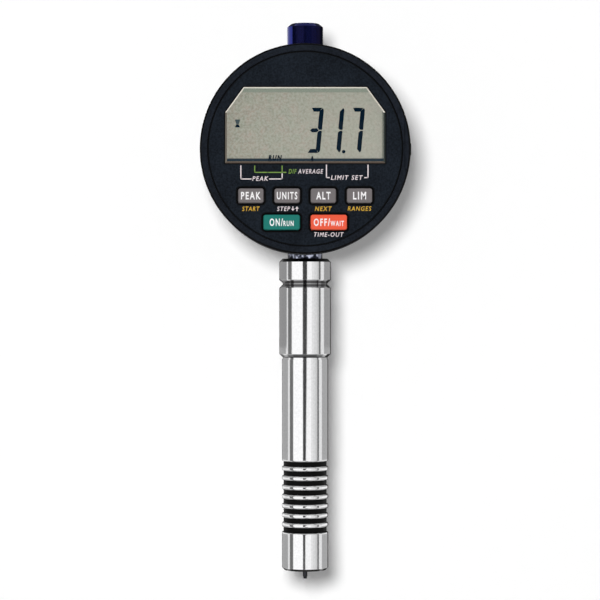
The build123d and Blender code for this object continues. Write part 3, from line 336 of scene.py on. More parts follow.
def add(tree, kind, inputs=(), **settings):
    """Adds a node with its settings and fills its inputs, given by name or as a row in the sockets' order.

    A value is set, and a socket, or the first output of a node, is linked."""
    node = tree.nodes.new("ShaderNode" + kind)
    for name, value in settings.items():
        setattr(node, name, value)
    if not isinstance(inputs, dict):
        inputs = dict(zip((place for place, socket in enumerate(node.inputs) if socket.enabled), inputs))
    for name, value in inputs.items():
        socket = node.inputs[name]
        if isinstance(value, bpy.types.Node):
            value = next(output for output in value.outputs if output.enabled)
        if isinstance(value, bpy.types.NodeSocket):
            tree.links.new(value, socket)
        else:
            socket.default_value = (*value, 1.0) if socket.type == "RGBA" else value
    return node


def surfaced(name, make, *look):
    """A new material, whose shader make adds to its tree on its Object coordinates."""
    material = bpy.data.materials.new(name)
    material.use_nodes = True
    tree = material.node_tree
    tree.nodes.clear()
    place = add(tree, "TexCoord").outputs["Object"]
    add(tree, "OutputMaterial", {"Surface": make(tree, place, *look)})
    return material


def clouds(tree, place, scale, low=0.0, high=1.0, detail=2.0):
    """A noise pattern that runs from low to high."""
    noise = add(tree, "TexNoise", {"Vector": place, "Scale": scale, "Detail": detail}).outputs["Fac"]
    return add(tree, "MapRange", (noise, *NOISE_SPAN, low, high))


def from_axis(tree, place, centre, across):
    """Distance from an axis through a point; across holds a one for each direction that counts."""
    apart = add(tree, "VectorMath", (place, centre), operation="SUBTRACT")
    flat = add(tree, "VectorMath", (apart, across), operation="MULTIPLY")
    return add(tree, "VectorMath", (flat,), operation="LENGTH")


def shade(colour, factor):
    """A colour made darker or paler by a factor."""
    return tuple(min(1.0, part * factor) for part in colour)


def turned_metal(tree, place, colour, rough, line_mm, depth_mm, outer=0.0, sunk=()):
    """A metal with the fine rings of a turned, ground or drawn surface and a little uneven gloss.

    Where the surface lies inside the outer radius, in a groove, on a chamfer or on an end, it is painted
    darker: painted shade in the collar's groove and chamfers, a painted dark reflection on the foot's
    chamfer, and a little darker steel on the foot's ground face. sunk holds the depths in mm between which
    each darker tone comes in, and its share of the colour."""
    scale = per_mm(ROUND_MM), per_mm(ROUND_MM), per_mm(line_mm)
    rings = clouds(tree, add(tree, "Mapping", {"Vector": place, "Scale": scale}), 1.0, detail=3.0)
    grain = clouds(tree, place, per_mm(0.5))
    base = add(tree, "Mix", (grain, shade(colour, 0.93), colour), data_type="RGBA")
    for near, far, part in sunk:
        reach = from_axis(tree, place, (0, 0, 0), (1, 1, 0))
        # Painted shade and painted dark reflection: darker inside the outer radius
        inside = add(tree, "MapRange", (reach, outer - far * MM, outer - near * MM, 1.0, 0.0))
        base = add(tree, "Mix", (inside, base, shade(colour, part)), data_type="RGBA")
    return add(tree, "BsdfPrincipled", {
        "Base Color": base,
        "Metallic": 1.0,
        "Roughness": clouds(tree, place, per_mm(12), 0.85 * rough, 1.2 * rough),
        "Normal": add(tree, "Bump", {"Height": rings, "Distance": depth_mm * MM}),
    })


def oiled_steel(tree, place, dark, pale):
    """Steel painted dark and bluish as shade under the head, with pale blotches as painted reflections."""
    blots = clouds(tree, place, per_mm(1.5), detail=1.0)
    # Pale blotches: painted reflections
    glints = add(tree, "MapRange", (blots, 0.45, 0.75))
    return add(tree, "BsdfPrincipled", {
        "Base Color": add(tree, "Mix", (glints, dark, pale), data_type="RGBA"),
        "Metallic": 1.0,
        "Roughness": add(tree, "MapRange", (blots, 0.25, 0.75, 0.3, 0.12)),
    })


def raised(tree, pattern, low, high, depth_mm, rough, metallic=0.0):
    """A surface of two tones by a pattern, whose high places stand up by a depth."""
    return add(tree, "BsdfPrincipled", {
        "Base Color": add(tree, "Mix", (pattern, low, high), data_type="RGBA"),
        "Metallic": metallic,
        "Roughness": rough,
        "Normal": add(tree, "Bump", {"Height": pattern, "Distance": depth_mm * MM}),
    })


def sintered_bronze(tree, place, colour):
    """Sintered bronze: matt, with dark pores."""
    return raised(tree, clouds(tree, place, per_mm(0.18)), shade(colour, 0.55), colour, 0.01, 0.42, 1.0)


def amber_film(tree, place, colour):
    """Polyimide film of a flexible cable: amber, smooth, with fine tracks across it."""
    wave = {"Vector": place, "Scale": per_mm(1.0) / 10, "Distortion": 0.0}
    return raised(tree, add(tree, "TexWave", wave).outputs["Fac"], shade(colour, 0.7), colour, 0.005, 0.3)


def circuit_board(tree, place, mask, copper):
    """Glass-epoxy board under green solder mask: copper tracks show as paler, raised bands.

    The pattern's greys are heights, not colours."""
    tracks = add(tree, "TexBrick", {
        "Vector": place, "Scale": per_mm(3.2), "Mortar Size": 0.05,
        "Color1": (1, 1, 1), "Color2": (0.6, 0.6, 0.6), "Mortar": (0, 0, 0),
    })
    return raised(tree, tracks, mask, copper, 0.02, 0.28)


def moulded(tree, place, colour, rough, grain_mm, depth_mm, gloss, drift=0.8, black=None):
    """A moulded, painted or printed surface: fine grain in tone and relief, and uneven gloss.

    The grain's dark tone is a share, drift, of the colour. Where black, a function of the tree and its
    coordinates, gives one, the surface is painted black as painted shade."""
    grain = clouds(tree, place, per_mm(grain_mm), detail=3.0)
    slow = clouds(tree, place, per_mm(9))
    both = add(tree, "Math", (slow, 0.4, grain), operation="MULTIPLY_ADD")
    amount = add(tree, "MapRange", (both, 0.2, 1.2))
    base = add(tree, "Mix", (amount, shade(colour, drift), colour), data_type="RGBA")
    # Painted shade: the places that black gives are painted black
    if black is not None:
        base = add(tree, "Mix", (black(tree, place), base, SHADE_BLACK), data_type="RGBA")
    return add(tree, "BsdfPrincipled", {
        "Base Color": base,
        "Roughness": clouds(tree, place, per_mm(1.6), 0.9 * rough, 1.1 * rough),
        "Specular IOR Level": gloss,
        "Normal": add(tree, "Bump", {"Height": grain, "Distance": depth_mm * MM}),
    })


def housing_painted_shade(tree, place):
    """Painted shade: one in the recess under the face sheet's openings and on the bezel's outer rounded edge."""
    low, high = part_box("bezel_housing")
    floor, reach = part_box("face_overlay")[1].y, (high.z - low.z) / 2
    depth = add(tree, "SeparateXYZ", (place,)).outputs["Y"]
    # Painted shade in the recess under the face sheet's openings
    inside = add(tree, "Math", (depth, floor, 0.05 * MM), operation="COMPARE")
    # Painted dark outline on the outer half of the bezel's rounded front edge
    away = from_axis(tree, place, HEAD, (1, 0, 1))
    far = add(tree, "Math", (away, reach - 0.5 * MM), operation="GREATER_THAN")
    near = add(tree, "Math", (depth, low.y + 0.6 * MM), operation="LESS_THAN")
    edge = add(tree, "Math", (far, near), operation="MULTIPLY")
    return add(tree, "Math", (inside, edge), operation="MAXIMUM")


def lcd_glass(tree, place, ground, warm, dim, pale, top_band, side, foot):
    """Reflective liquid crystal glass: grey-green paper tone in soft clouds, with warm specks.

    The ground grows paler towards the right. A greener band runs along its top, its right edge is
    darkened as painted shade, and a dark band runs along its foot."""
    low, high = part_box("display_window")
    along = add(tree, "SeparateXYZ", (place,)).outputs
    for amount, tone in (
        (clouds(tree, place, per_mm(2.5), detail=3.0), warm),
        (clouds(tree, place, per_mm(1.0), 0.6, 0.0, 1.0), dim),
        (clouds(tree, place, per_mm(0.6), 0.0, 0.6, 0.0), pale),
        (add(tree, "MapRange", (along["X"], low.x, high.x, 0.0, 0.5)), pale),
        (add(tree, "MapRange", (along["Z"], high.z - 1.4 * MM, high.z - 1.2 * MM, 0.0, 0.85)), top_band),
        # Painted shade along the right edge
        (add(tree, "MapRange", (along["X"], high.x - 0.95 * MM, high.x - 0.6 * MM, 0.0, 0.7)), side),
        (add(tree, "MapRange", (along["Z"], low.z + 1.5 * MM, low.z + 1.2 * MM)), foot),
    ):
        ground = add(tree, "Mix", (amount, ground, tone), data_type="RGBA")
    grain = clouds(tree, place, per_mm(0.5))
    return add(tree, "BsdfPrincipled", {
        "Base Color": ground,
        "Roughness": 0.45,
        "Specular IOR Level": 0.2,
        "Normal": add(tree, "Bump", {"Height": grain, "Distance": 0.002 * MM}),
    })


def clear_acrylic(tree, place, tint, light, low, right, left, bright):
    """Cast acrylic pane: clear and glossy; its bevel carries painted light and shade, bright where it faces
    the light from the upper left and darker where it faces away.

    Light from the lamps and from the display's own ground passes straight through it."""
    pane = add(tree, "BsdfPrincipled", {
        "Base Color": tint,
        "Roughness": 0.0,
        "IOR": 1.49,
        "Transmission Weight": 1.0,
    })
    normal = add(tree, "NewGeometry").outputs["True Normal"]
    way = add(tree, "VectorTransform", (normal,),
              vector_type="NORMAL", convert_from="WORLD", convert_to="OBJECT")
    # Painted light and shade: each bevel's tone by how it faces the light from the upper left
    up = add(tree, "VectorMath", (way, BEVEL_LIGHT), operation="DOT_PRODUCT")
    tone = low
    for start, end, colour in ((-0.6, -0.25, right), (-0.15, 0.15, left), (*BRIGHT_BEVEL, bright)):
        tone = add(tree, "Mix", (add(tree, "MapRange", (up, start, end)), tone, colour), data_type="RGBA")
    bevel = add(tree, "BsdfPrincipled", {"Base Color": tone, "Roughness": 0.2})
    depth = add(tree, "SeparateXYZ", (place,)).outputs["Y"]
    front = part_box("display_window")[0].y
    start = add(tree, "MapRange", (up, *BRIGHT_BEVEL, front + 0.03 * MM, front + 0.2 * MM))
    behind = add(tree, "Math", (depth, start), operation="GREATER_THAN")
    above = add(tree, "Math", (depth, FACE_FRONT), operation="LESS_THAN")
    cut = add(tree, "Math", (behind, above), operation="MULTIPLY")
    body = add(tree, "MixShader", (cut, pane, bevel))
    clear = add(tree, "BsdfTransparent", {"Color": light})
    path = add(tree, "LightPath").outputs
    lit = add(tree, "Math", (path["Is Shadow Ray"], path["Is Diffuse Ray"]), operation="MAXIMUM")
    return add(tree, "MixShader", (lit, body, clear))


# Finishes by slot and, after that, by piece: name, maker, colours and the maker's other values.
# Metals have a roughness, the spacing and the depth of their rings in mm, an outer radius and sunk places
POLISHED = (0.09, 0.22, 0.0006)
METALS = {
    # Ground and polished bar steel: sharp mirror streaks, broken by hair-fine grinding rings
    "polished_steel": ("polished_steel", turned_metal, "steel", *POLISHED),
    # Hardened and ground tool steel: greyer than the barrel, with a dull gloss
    "tool_steel": ("ground_tool_steel", turned_metal, "tool_steel", 0.24, 0.15, 0.0012),
    # Drawn spring wire: grey, with a satin gloss from the die
    "spring_steel": ("drawn_spring_steel", turned_metal, "spring_steel", 0.3, 0.1, 0.001),
    # Black oxide on screws: near black, oily gloss
    "fastener_steel": ("black_oxide_steel", turned_metal, "oxide", 0.32, 0.12, 0.001),
    "bearing_bronze": ("sintered_bronze", sintered_bronze, "bronze"),
    # Turned brass: warm yellow with tool rings
    "brass": ("turned_brass", turned_metal, "brass", 0.22, 0.2, 0.002),
    # Turned aluminium: pale, with plain tool rings
    "turned_aluminium": ("turned_aluminium", turned_metal, "aluminium", 0.28, 0.2, 0.002),
    # Dyed anodised aluminium, turned bright: near black, and blue where it mirrors something pale
    "blue_anodised": ("blue_anodised_aluminium", turned_metal, "blue", 0.12, 0.25, 0.0008),
    # Nickel plate on pressed steel: pale, satin and slightly warm
    "metal_can": ("nickel_plated_steel", turned_metal, "nickel", 0.25, 0.3, 0.001),
    # Polished steel on the collar, whose groove and chamfers are painted darker: painted shade
    "upper_barrel": ("polished_steel_collar", turned_metal, "steel", *POLISHED,
                     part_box("upper_barrel")[1].x, ((0.03, 0.4, 0.36),)),
    # Polished steel on the presser foot, with a painted dark reflection on the chamfer round the ground face
    "presser_foot": ("polished_steel_foot", turned_metal, "steel", *POLISHED,
                     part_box("presser_foot")[1].x, ((0.03, 0.12, 0.1), (0.6, 0.68, 0.75))),
    # The stem under the head: painted shade, dark and bluish, with pale blotches as painted reflections
    "stem": ("oiled_steel", oiled_steel, "oil", "oil_pale"),
}

# Mouldings have a roughness, the width and the depth of their grain in mm, a gloss, a drift and black places
KEY_FINISH = (0.45, 0.22, 0.006, 0.25, 0.93)
MOULDINGS = {
    # Nitrile rubber: matt black with a fine moulded grain
    "black_rubber": ("nitrile_rubber", moulded, "rubber", 0.6, 0.25, 0.012, 0.1),
    # Painted die casting: black, with the fine orange peel of sprayed enamel
    "black_case": ("black_enamel_on_casting", moulded, "case", 0.42, 0.45, 0.006, 0.25),
    # Moulded ABS: blue-black, with a fine spark-eroded texture drawn at 0.45 mm so that it shows
    # The housing is painted black as shade under the face sheet's openings and along the bezel's outer edge
    "black_plastic": ("moulded_black_abs", moulded, "plastic", 0.46, 0.45, 0.01, 0.08, 0.4, housing_painted_shade),
    # Polyester face sheet, printed black from behind: flat and matt, with a velvet grain
    "printed_face": ("black_polyester_face_sheet", moulded, "face", 0.5, 0.45, 0.008, 0.06, 0.35),
    # Moulded ABS keys in three colours: satin, with a fine grain
    "grey_key": ("grey_abs_key", moulded, "grey_key", *KEY_FINISH),
    "green_key": ("green_abs_key", moulded, "green_key", *KEY_FINISH),
    "red_key": ("red_abs_key", moulded, "red_key", *KEY_FINISH),
}

# Screen-printed ink: flat and matt, a little thin in places
INK = (0.6, 0.3, 0.002, 0.1, 0.9)

# Darkened liquid crystal: deep, without a gloss of its own
SEGMENT_DYE = (0.7, 0.4, 0.001, 0.0, 0.85)

ELECTRONICS = {
    # Clear cast acrylic, with painted light and shade on its bevels
    "clear_acrylic": ("clear_cast_acrylic", clear_acrylic, "pane", "pane_light",
                      "bevel_low", "bevel_right", "bevel_left", "bevel_bright"),
    "lcd_glass": ("reflective_lcd_glass", lcd_glass, "lcd", "lcd_warm", "lcd_dim", "lcd_pale",
                  "lcd_seal", "lcd_side", "lcd_foot"),
    "circuit_board": ("solder_masked_board", circuit_board, "board", "copper"),
    # Moulding epoxy of a chip: dull black
    "chip_black": ("chip_epoxy", moulded, "chip", 0.6, 0.1, 0.004, 0.3),
    "amber_film": ("amber_polyimide_film", amber_film, "amber"),
}


def dress(finishes, finish):
    """Gives each CAD node whose slot or own name is listed its finish; a word stands for a finish colour."""
    for name, (title, make, *look) in finishes.items():
        look = [getattr(finish, value) if isinstance(value, str) else value for value in look]
        material = surfaced(title, make, *look)
        for node, slot in SLOT_OF.items():
            if name in (slot, node):
                for place in frame["nodes"][node].material_slots:
                    place.material = material


class DUROMETER_OT_metals(bpy.types.Operator):
    """Finishes the steel barrel, the cap and every other metal piece"""

    bl_idname = "durometer.metals"
    bl_label = "Metal finishes"

    def execute(self, context):
        dress(METALS, context.scene.durometer_finish)
        return {"FINISHED"}


class DUROMETER_OT_mouldings(bpy.types.Operator):
    """Finishes the housing, the case, the face, the keys and the rubber"""

    bl_idname = "durometer.mouldings"
    bl_label = "Moulded finishes"

    def execute(self, context):
        dress(MOULDINGS, context.scene.durometer_finish)
        return {"FINISHED"}


class DUROMETER_OT_electronics(bpy.types.Operator):
    """Finishes the window, the display glass, the boards, the chip and the flexible cable"""

    bl_idname = "durometer.electronics"
    bl_label = "Display and board finishes"

    def execute(self, context):
        dress(ELECTRONICS, context.scene.durometer_finish)
        return {"FINISHED"}


def thicken(bm, faces, span):
    """Gives flat faces at the back of a span along Y its depth, and returns the corners at its front."""
    grown = bmesh.ops.extrude_face_region(bm, geom=faces)["geom"]
    moved = [part for part in grown if isinstance(part, bmesh.types.BMVert)]
    bmesh.ops.translate(bm, verts=moved, vec=(0, span[1] - span[0], 0))
    return moved


def plate(bm, outline, span):
    """A flat plate with this outline of x and z over a span along Y; gives its back and its front corners."""
    back = [bm.verts.new((x, span[0], z)) for x, z in outline]
    return back, thicken(bm, [bm.faces.new(back)], span)


def rounded_plate(bm, outline, span, rounding):
    """A plate whose outline has rounded corners."""
    back, front = plate(bm, outline, span)
    edges = [edge for corner in back for edge in corner.link_edges if edge.other_vert(corner) in front]
    bmesh.ops.bevel(bm, geom=edges, offset=rounding, affect="EDGES", segments=2, profile=0.5, material=-1)


def dot(bm, middle, diameter, span):
    """A round plate centred on a point of x and z."""
    place = Matrix.Translation((middle[0], sum(span) / 2, middle[1]))
    bmesh.ops.create_cone(
        bm, cap_ends=True, segments=DOT_STEPS, radius1=diameter / 2, radius2=diameter / 2,
        depth=abs(span[1] - span[0]), matrix=place @ UPRIGHT)


def bar(bm, start, end, width, span):
    """A straight printed line between two points of x and z."""
    along = (Vector(end) - Vector(start)).normalized() * width / 2
    across = Vector((-along.y, along.x))
    first, last = Vector(start) - along, Vector(end) + along
    plate(bm, [first - across, last - across, last + across, first + across], span)


def letters(bm, text, left, middle, width, height, span, look):
    """Adds words this wide and high, from a place along X and centred on a height."""
    curve = bpy.data.curves.new("letters", "FONT")
    curve.body = text
    curve.size = 1.0
    curve.offset, curve.shear, curve.space_character = look
    curve.resolution_u = LETTER_STEPS
    curve.extrude = 0.5
    holder = bpy.data.objects.new("letters", curve)
    mesh = bpy.data.meshes.new_from_object(holder)
    bpy.data.objects.remove(holder)
    bpy.data.curves.remove(curve)
    xs = [v.co.x for v in mesh.vertices]
    ys = [v.co.y for v in mesh.vertices]
    wide, tall, deep = width / (max(xs) - min(xs)), height / (max(ys) - min(ys)), abs(span[1] - span[0])
    grow = Matrix.Diagonal((wide, tall, deep, 1))
    place = Matrix.Translation((left, sum(span) / 2, middle - height / 2))
    mesh.transform(place @ UPRIGHT @ grow @ Matrix.Translation((-min(xs), -min(ys), 0)))
    bm.from_mesh(mesh)
    bpy.data.meshes.remove(mesh)


def arc(middle, reach, start, sweep, steps):
    """Points of x and z round a middle, from an angle in degrees on through a sweep."""
    angles = [radians(start + sweep * step / steps) for step in range(steps + 1)]
    return [(middle[0] + reach * cos(angle), middle[1] + reach * sin(angle)) for angle in angles]


def outset(outline, distance):
    """A closed outline, counter-clockwise, moved outwards by a distance."""
    moved = []
    for before, here, after in zip(outline[-1:] + outline[:-1], outline, outline[1:] + outline[:1]):
        first = (Vector(here) - Vector(before)).normalized()
        second = (Vector(after) - Vector(here)).normalized()
        way = Vector((first.y + second.y, -first.x - second.x))
        moved.append(Vector(here) + way * (2 * distance / way.length_squared))
    return moved


def band(bm, outline, start, width, span):
    """A flat frame round an outline, from a distance outside it, with a width."""
    inner, outer = ([bm.verts.new((x, span[0], z)) for x, z in outset(outline, away)]
                    for away in (start, start + width))
    corners = zip(inner, outer, outer[1:] + outer[:1], inner[1:] + inner[:1])
    thicken(bm, [bm.faces.new(four) for four in corners], span)


def linked(name, data, *unseen):
    """A new object of the scene, not seen by rays of these kinds."""
    made = bpy.data.objects.new(name, data)
    for ray in unseen:
        setattr(made, "visible_" + ray, False)
    bpy.context.scene.collection.objects.link(made)
    return made


def built(name, bm, material, *unseen):
    """Turns a bmesh into an object of the scene."""
    mesh = bpy.data.meshes.new(name)
    bm.to_mesh(mesh)
    bm.free()
    mesh.materials.append(material)
    return linked(name, mesh, *unseen)


def piece(name, bm, material, body):
    """Turns a bmesh into a piece that rides on a body."""
    bmesh.ops.remove_doubles(bm, verts=bm.verts[:], dist=WELD)
    bmesh.ops.recalc_face_normals(bm, faces=bm.faces[:])
    made = built(name, bm, material)
    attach(made, body)


def on_face(x_mm, z_mm):
    """A point of x and z on the display's face, given in mm from the head's centre."""
    return HEAD.x + x_mm * MM, HEAD.z + z_mm * MM


def segments(reading):
    """Outlines of the seven segments of one figure, in its own frame with its foot at zero.

    The cut corners are shares of the stroke."""
    wide, tall, stroke, thick, gap = reading.width, reading.height, reading.stroke, reading.bar, reading.gap
    middle, half = tall / 2, thick / 2
    top = [
        (-0.05 * stroke, tall), (wide - 0.4 * stroke, tall),
        (wide - 0.95 * stroke, tall - thick), (0.45 * stroke, tall - thick),
    ]
    upper = [
        (wide, tall - 0.5 * stroke), (wide - 0.3 * stroke, tall - 0.06 * stroke),
        (wide - stroke, tall - 0.9 * stroke), (wide - stroke, middle + 0.5 * stroke),
        (wide - 0.65 * stroke, middle + gap), (wide - 0.1 * stroke, middle + gap),
        (wide, middle + 0.2 * stroke),
    ]
    tip = wide - 0.72 * stroke
    bridge = [
        (0, middle), (half, middle - half), (tip - half, middle - half),
        (tip, middle), (tip - half, middle + half), (half, middle + half),
    ]

    def mirrored(outline, sideways, upside_down):
        return [(wide - x if sideways else x, tall - z if upside_down else z) for x, z in outline]

    return {
        "a": top, "b": upper, "c": mirrored(upper, False, True), "d": mirrored(top, False, True),
        "e": mirrored(upper, True, True), "f": mirrored(upper, True, False), "g": bridge,
    }


def add_figures(bm, reading, span):
    """The large figures of the reading, from the last one to the first, and its point."""
    figures = reading.number.replace(".", "")
    if not all(figure in FIGURES for figure in figures):
        raise ValueError("the reading may hold figures, a minus and a point")
    outlines = segments(reading)
    lean = tan(reading.slant)
    last, base = HEAD.x + reading.right - reading.width, HEAD.z + reading.base
    for count, figure in enumerate(reversed(figures)):
        foot = last - count * reading.pitch
        for name in FIGURES[figure]:
            outline = [(foot + x + z * lean, base + z) for x, z in outlines[name]]
            rounded_plate(bm, outline, span, reading.corner)
    if "." in reading.number:
        after = len(reading.number) - 2 - reading.number.find(".")
        place = (last - after * reading.pitch - reading.point_back, base + POINT_RISE * reading.point)
        dot(bm, place, reading.point, span)


class DUROMETER_OT_reading(bpy.types.Operator):
    """Draws the figures and the small marks on the liquid crystal display"""

    bl_idname = "durometer.reading"
    bl_label = "Display reading"

    def execute(self, context):
        reading = context.scene.durometer_reading
        span = LCD_FRONT, LCD_FRONT - SEGMENT_DEPTH
        dark, faint = bmesh.new(), bmesh.new()
        add_figures(dark, reading, span)
        left, right, level = MARK_PLACE
        width, height = (right - left) * MM, reading.mark_height
        letters(dark, reading.mark, *on_face(left, level), width, height, span, MARK_LETTERS)
        for bm, mark in ((dark, POINTER), (dark, SAND), (faint, EMPTY_GLASS)):
            plate(bm, [on_face(x, z) for x, z in mark], span)
        dye = surfaced("lcd_segment_dye", moulded, reading.ink, *SEGMENT_DYE)
        piece("lcd_segments", dark, dye, "display")
        dye = surfaced("lcd_faint_dye", moulded, reading.ink_faint, *SEGMENT_DYE)
        piece("lcd_faint_mark", faint, dye, "display")
        return {"FINISHED"}


def print_brackets(inks, legend, span):
    """The brackets below the window, each open at the top, with a gap in its foot for a word."""
    for colour, sides, tops, foot, gap in BRACKETS:
        for side, top, gap_end in zip(sides, tops, gap):
            bar(inks[colour], on_face(side, top), on_face(side, foot), legend.line, span)
            bar(inks[colour], on_face(side, foot), on_face(gap_end, foot), legend.line, span)
    bar(inks[colour], on_face(side, foot), on_face(LAST_FOOT, foot), legend.line, span)


def print_arrows(bm, left, middle, height, span):
    """A small arrow down and a small arrow up, side by side."""
    wing = ARROW_WING * height
    for count, tip in enumerate((-height / 2, height / 2)):
        x = left + wing + count * ARROW_STEP * wing
        plate(bm, [(x - wing, middle), (x + wing, middle), (x, middle + tip)], span)
        bar(bm, (x, middle), (x, middle - ARROW_TAIL * tip), ARROW_LINE * wing, span)


def print_words(inks, legend, span):
    """The words below the window and below the keys, with the two arrows behind one of them."""
    for text, (colour, left, right, level) in FACE_WORDS.items():
        width = (right - left) * MM
        letters(inks[colour], text, *on_face(left, level), width, legend.small, span, FACE_LETTERS)
    for key, (text, colour, width, drop) in UNDER_WORDS.items():
        low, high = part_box(key)
        total = (width + ARROW_ROOM if key == ARROW_KEY else width) * MM
        left, middle = (low.x + high.x - total) / 2, (low.z + high.z) / 2 - drop * MM
        letters(inks[colour], text, left, middle, width * MM, legend.small, span, FACE_LETTERS)
        if key == ARROW_KEY:
            print_arrows(inks[colour], left + (width + ARROW_GAP) * MM, middle, legend.arrow, span)


def window_outline(legend):
    """Outline of the window in x and z, counter-clockwise from its lower left corner."""
    low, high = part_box("display_window")
    wide, tall = legend.cut_width, legend.cut_height
    return [
        (low.x, low.z), (high.x, low.z), (high.x, high.z - tall),
        (high.x - wide, high.z), (low.x + wide, high.z), (low.x, high.z - tall),
    ]


def key_outline(legend, key):
    """Outline of the opening for a key in x and z, counter-clockwise."""
    low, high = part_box(key)
    inset = legend.key_corner + legend.key_inset
    left, right, bottom, top = low.x + inset, high.x - inset, low.z + inset, high.z - inset
    outline = []
    for count, middle in enumerate(((right, top), (left, top), (left, bottom), (right, bottom))):
        outline += arc(middle, legend.key_corner, 90 * count, 90, CORNER_STEPS)
    return outline


def print_borders(bm, legend, span):
    """Black lines round the window, round the keys' openings and along the face sheet's edge."""
    band(bm, window_outline(legend), WINDOW_GAP, legend.border, span)
    for key in KEY_WORDS:
        band(bm, key_outline(legend, key), LINE_GAP, legend.key_border, span)
    low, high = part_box("face_overlay")
    rim = arc((HEAD.x, HEAD.z), (high.x - low.x) / 2 - legend.edge, 0, 360, RIM_STEPS)
    band(bm, rim[:-1], 0.0, legend.edge - LINE_GAP, span)


class DUROMETER_OT_face_print(bpy.types.Operator):
    """Prints the borders, the brackets and the small words on the face"""

    bl_idname = "durometer.face_print"
    bl_label = "Face print"

    def execute(self, context):
        legend = context.scene.durometer_print
        span = FACE_FRONT + INK_SUNK, FACE_FRONT - INK_PROUD
        inks = {name: bmesh.new() for name in ("white", "green", "yellow", "black")}
        print_brackets(inks, legend, span)
        print_words(inks, legend, span)
        print_borders(inks["black"], legend, span)
        for name, bm in inks.items():
            material = surfaced("screen_ink_" + name, moulded, getattr(legend, name), *INK)
            piece("face_print_" + name, bm, material, "display")
        return {"FINISHED"}


class DUROMETER_OT_key_words(bpy.types.Operator):
    """Prints the words on the six keys"""

    bl_idname = "durometer.key_words"
    bl_label = "Key words"

    def execute(self, context):
        legend = context.scene.durometer_print
        material = surfaced("screen_ink_keys", moulded, legend.key_white, *INK)
        for key, words in KEY_WORDS.items():
            low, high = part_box(key)
            span = low.y + INK_SUNK, low.y - INK_PROUD
            total = sum(width for text, width in words) * MM + (len(words) - 1) * legend.word_gap
            left, bottom = (low.x + high.x - total) / 2, (low.z + high.z - legend.bold) / 2
            bm = bmesh.new()
            for (text, width), height in zip(words, (legend.bold, legend.minor)):
                letters(bm, text, left, bottom + height / 2, width * MM, height, span, KEY_LETTERS)
                left += width * MM + legend.word_gap
            piece(key + "_word", bm, material, key)
        return {"FINISHED"}


def add_camera(scene, stage):
    """The camera looks level along +Y at the middle of the object."""
    data = bpy.data.cameras.new("camera")
    data.sensor_width = SENSOR_MM
    data.lens = SENSOR_MM * stage.distance / stage.view
    scene.camera = linked("camera", data)
    scene.camera.location = (stage.side, -stage.distance, stage.height)
    scene.camera.rotation_euler = (radians(90), 0, 0)


def seen_share(tree):
    """One for rays from the camera, from gloss and through glass, and zero for the rest."""
    path = add(tree, "LightPath").outputs
    pair = add(tree, "Math", (path["Is Camera Ray"], path["Is Glossy Ray"]), operation="ADD")
    return add(tree, "Math", (pair, path["Is Transmission Ray"]), operation="ADD", use_clamp=True)


def add_world(scene, stage):
    """A white room to the eye and in reflections, and a softer sky as light."""
    scene.world = bpy.data.worlds.new("white_room")
    scene.world.use_nodes = True
    tree = scene.world.node_tree
    tree.nodes.clear()
    strength = add(tree, "MapRange", (seen_share(tree), 0.0, 1.0, stage.sky, 1.0))
    glow = add(tree, "Background", {"Color": WHITE, "Strength": strength})
    add(tree, "OutputWorld", {"Surface": glow})


def backdrop_paper(tree, place, lift):
    """White seamless paper, seen from its front alone, with a slight glow to the eye."""
    sheet = add(tree, "BsdfDiffuse", {"Color": clouds(tree, place, per_mm(4), 0.94, 0.95)})
    strength = add(tree, "Math", (seen_share(tree), lift), operation="MULTIPLY")
    glow = add(tree, "Emission", {"Color": WHITE, "Strength": strength})
    front = add(tree, "AddShader", (sheet, glow))
    side = add(tree, "NewGeometry").outputs["Backfacing"]
    return add(tree, "MixShader", (side, front, add(tree, "BsdfTransparent")))


def add_backdrop(stage):
    """A sheet of paper behind the object, facing the camera."""
    bm = bmesh.new()
    facing = Matrix.Translation((0, stage.gap, stage.height)) @ UPRIGHT
    bmesh.ops.create_grid(bm, x_segments=1, y_segments=1, size=stage.sheet, matrix=facing)
    paper = surfaced("white_paper", backdrop_paper, stage.lift)
    made = built("backdrop", bm, paper, "diffuse", "glossy", "shadow")


def hung(name, data):
    """A lamp that neither metal nor glass mirrors."""
    return linked(name, data, "camera", "glossy", "transmission")


def add_key_lamp(stage):
    """A soft round lamp beside the camera, whose shadows keep the size of the object; it doesn't fade."""
    data = bpy.data.lights.new("key_lamp", "POINT")
    data.energy = stage.key_light * 4 * pi ** 2
    data.shadow_soft_size = stage.key_radius
    data.use_nodes = True
    tree = data.node_tree
    tree.nodes.clear()
    even = add(tree, "LightFalloff", {"Strength": 1.0}).outputs["Constant"]
    add(tree, "OutputLight", {"Surface": add(tree, "Emission", {"Strength": even})})
    lamp = hung("key_lamp", data)
    lamp.location = (stage.side - stage.key_side, -stage.distance, stage.height + stage.key_rise)


def add_distant_lamps(stage):
    """Soft lamps from above and for the back, each of which gives a white sheet its brightness."""
    for name, (level, softness, aim) in DISTANT_LAMPS.items():
        data = bpy.data.lights.new(name, "SUN")
        data.energy = getattr(stage, level) * pi
        data.angle = radians(softness)
        hung(name, data).rotation_euler = Vector(aim).to_track_quat("-Z", "Y").to_euler()


def glowing_card(tree, place, glow):
    """A card that gives light of a brightness or a colour."""
    return add(tree, "Emission", {"Color": glow if isinstance(glow, tuple) else (glow, glow, glow)})


def reflector(name, bm, glow):
    """Turns a bmesh into a card that only gloss and the window's inner mirror see."""
    made = built(name, bm, surfaced(name, glowing_card, glow), "camera", "diffuse", "shadow")


def curved_card(start, end, reach, low, high):
    """A curved card round the object, from one azimuth to another, between two heights."""
    bm = bmesh.new()
    x, y = reach * sin(radians(start)), -reach * cos(radians(start))
    ends = [bm.verts.new((x, y, z)) for z in (low, high)]
    line = [*ends, bm.edges.new(ends)]
    sweep = radians(end - start)
    bmesh.ops.spin(bm, geom=line, cent=(0, 0, 0), axis=(0, 0, 1), angle=sweep, steps=CARD_STEPS)
    return bm


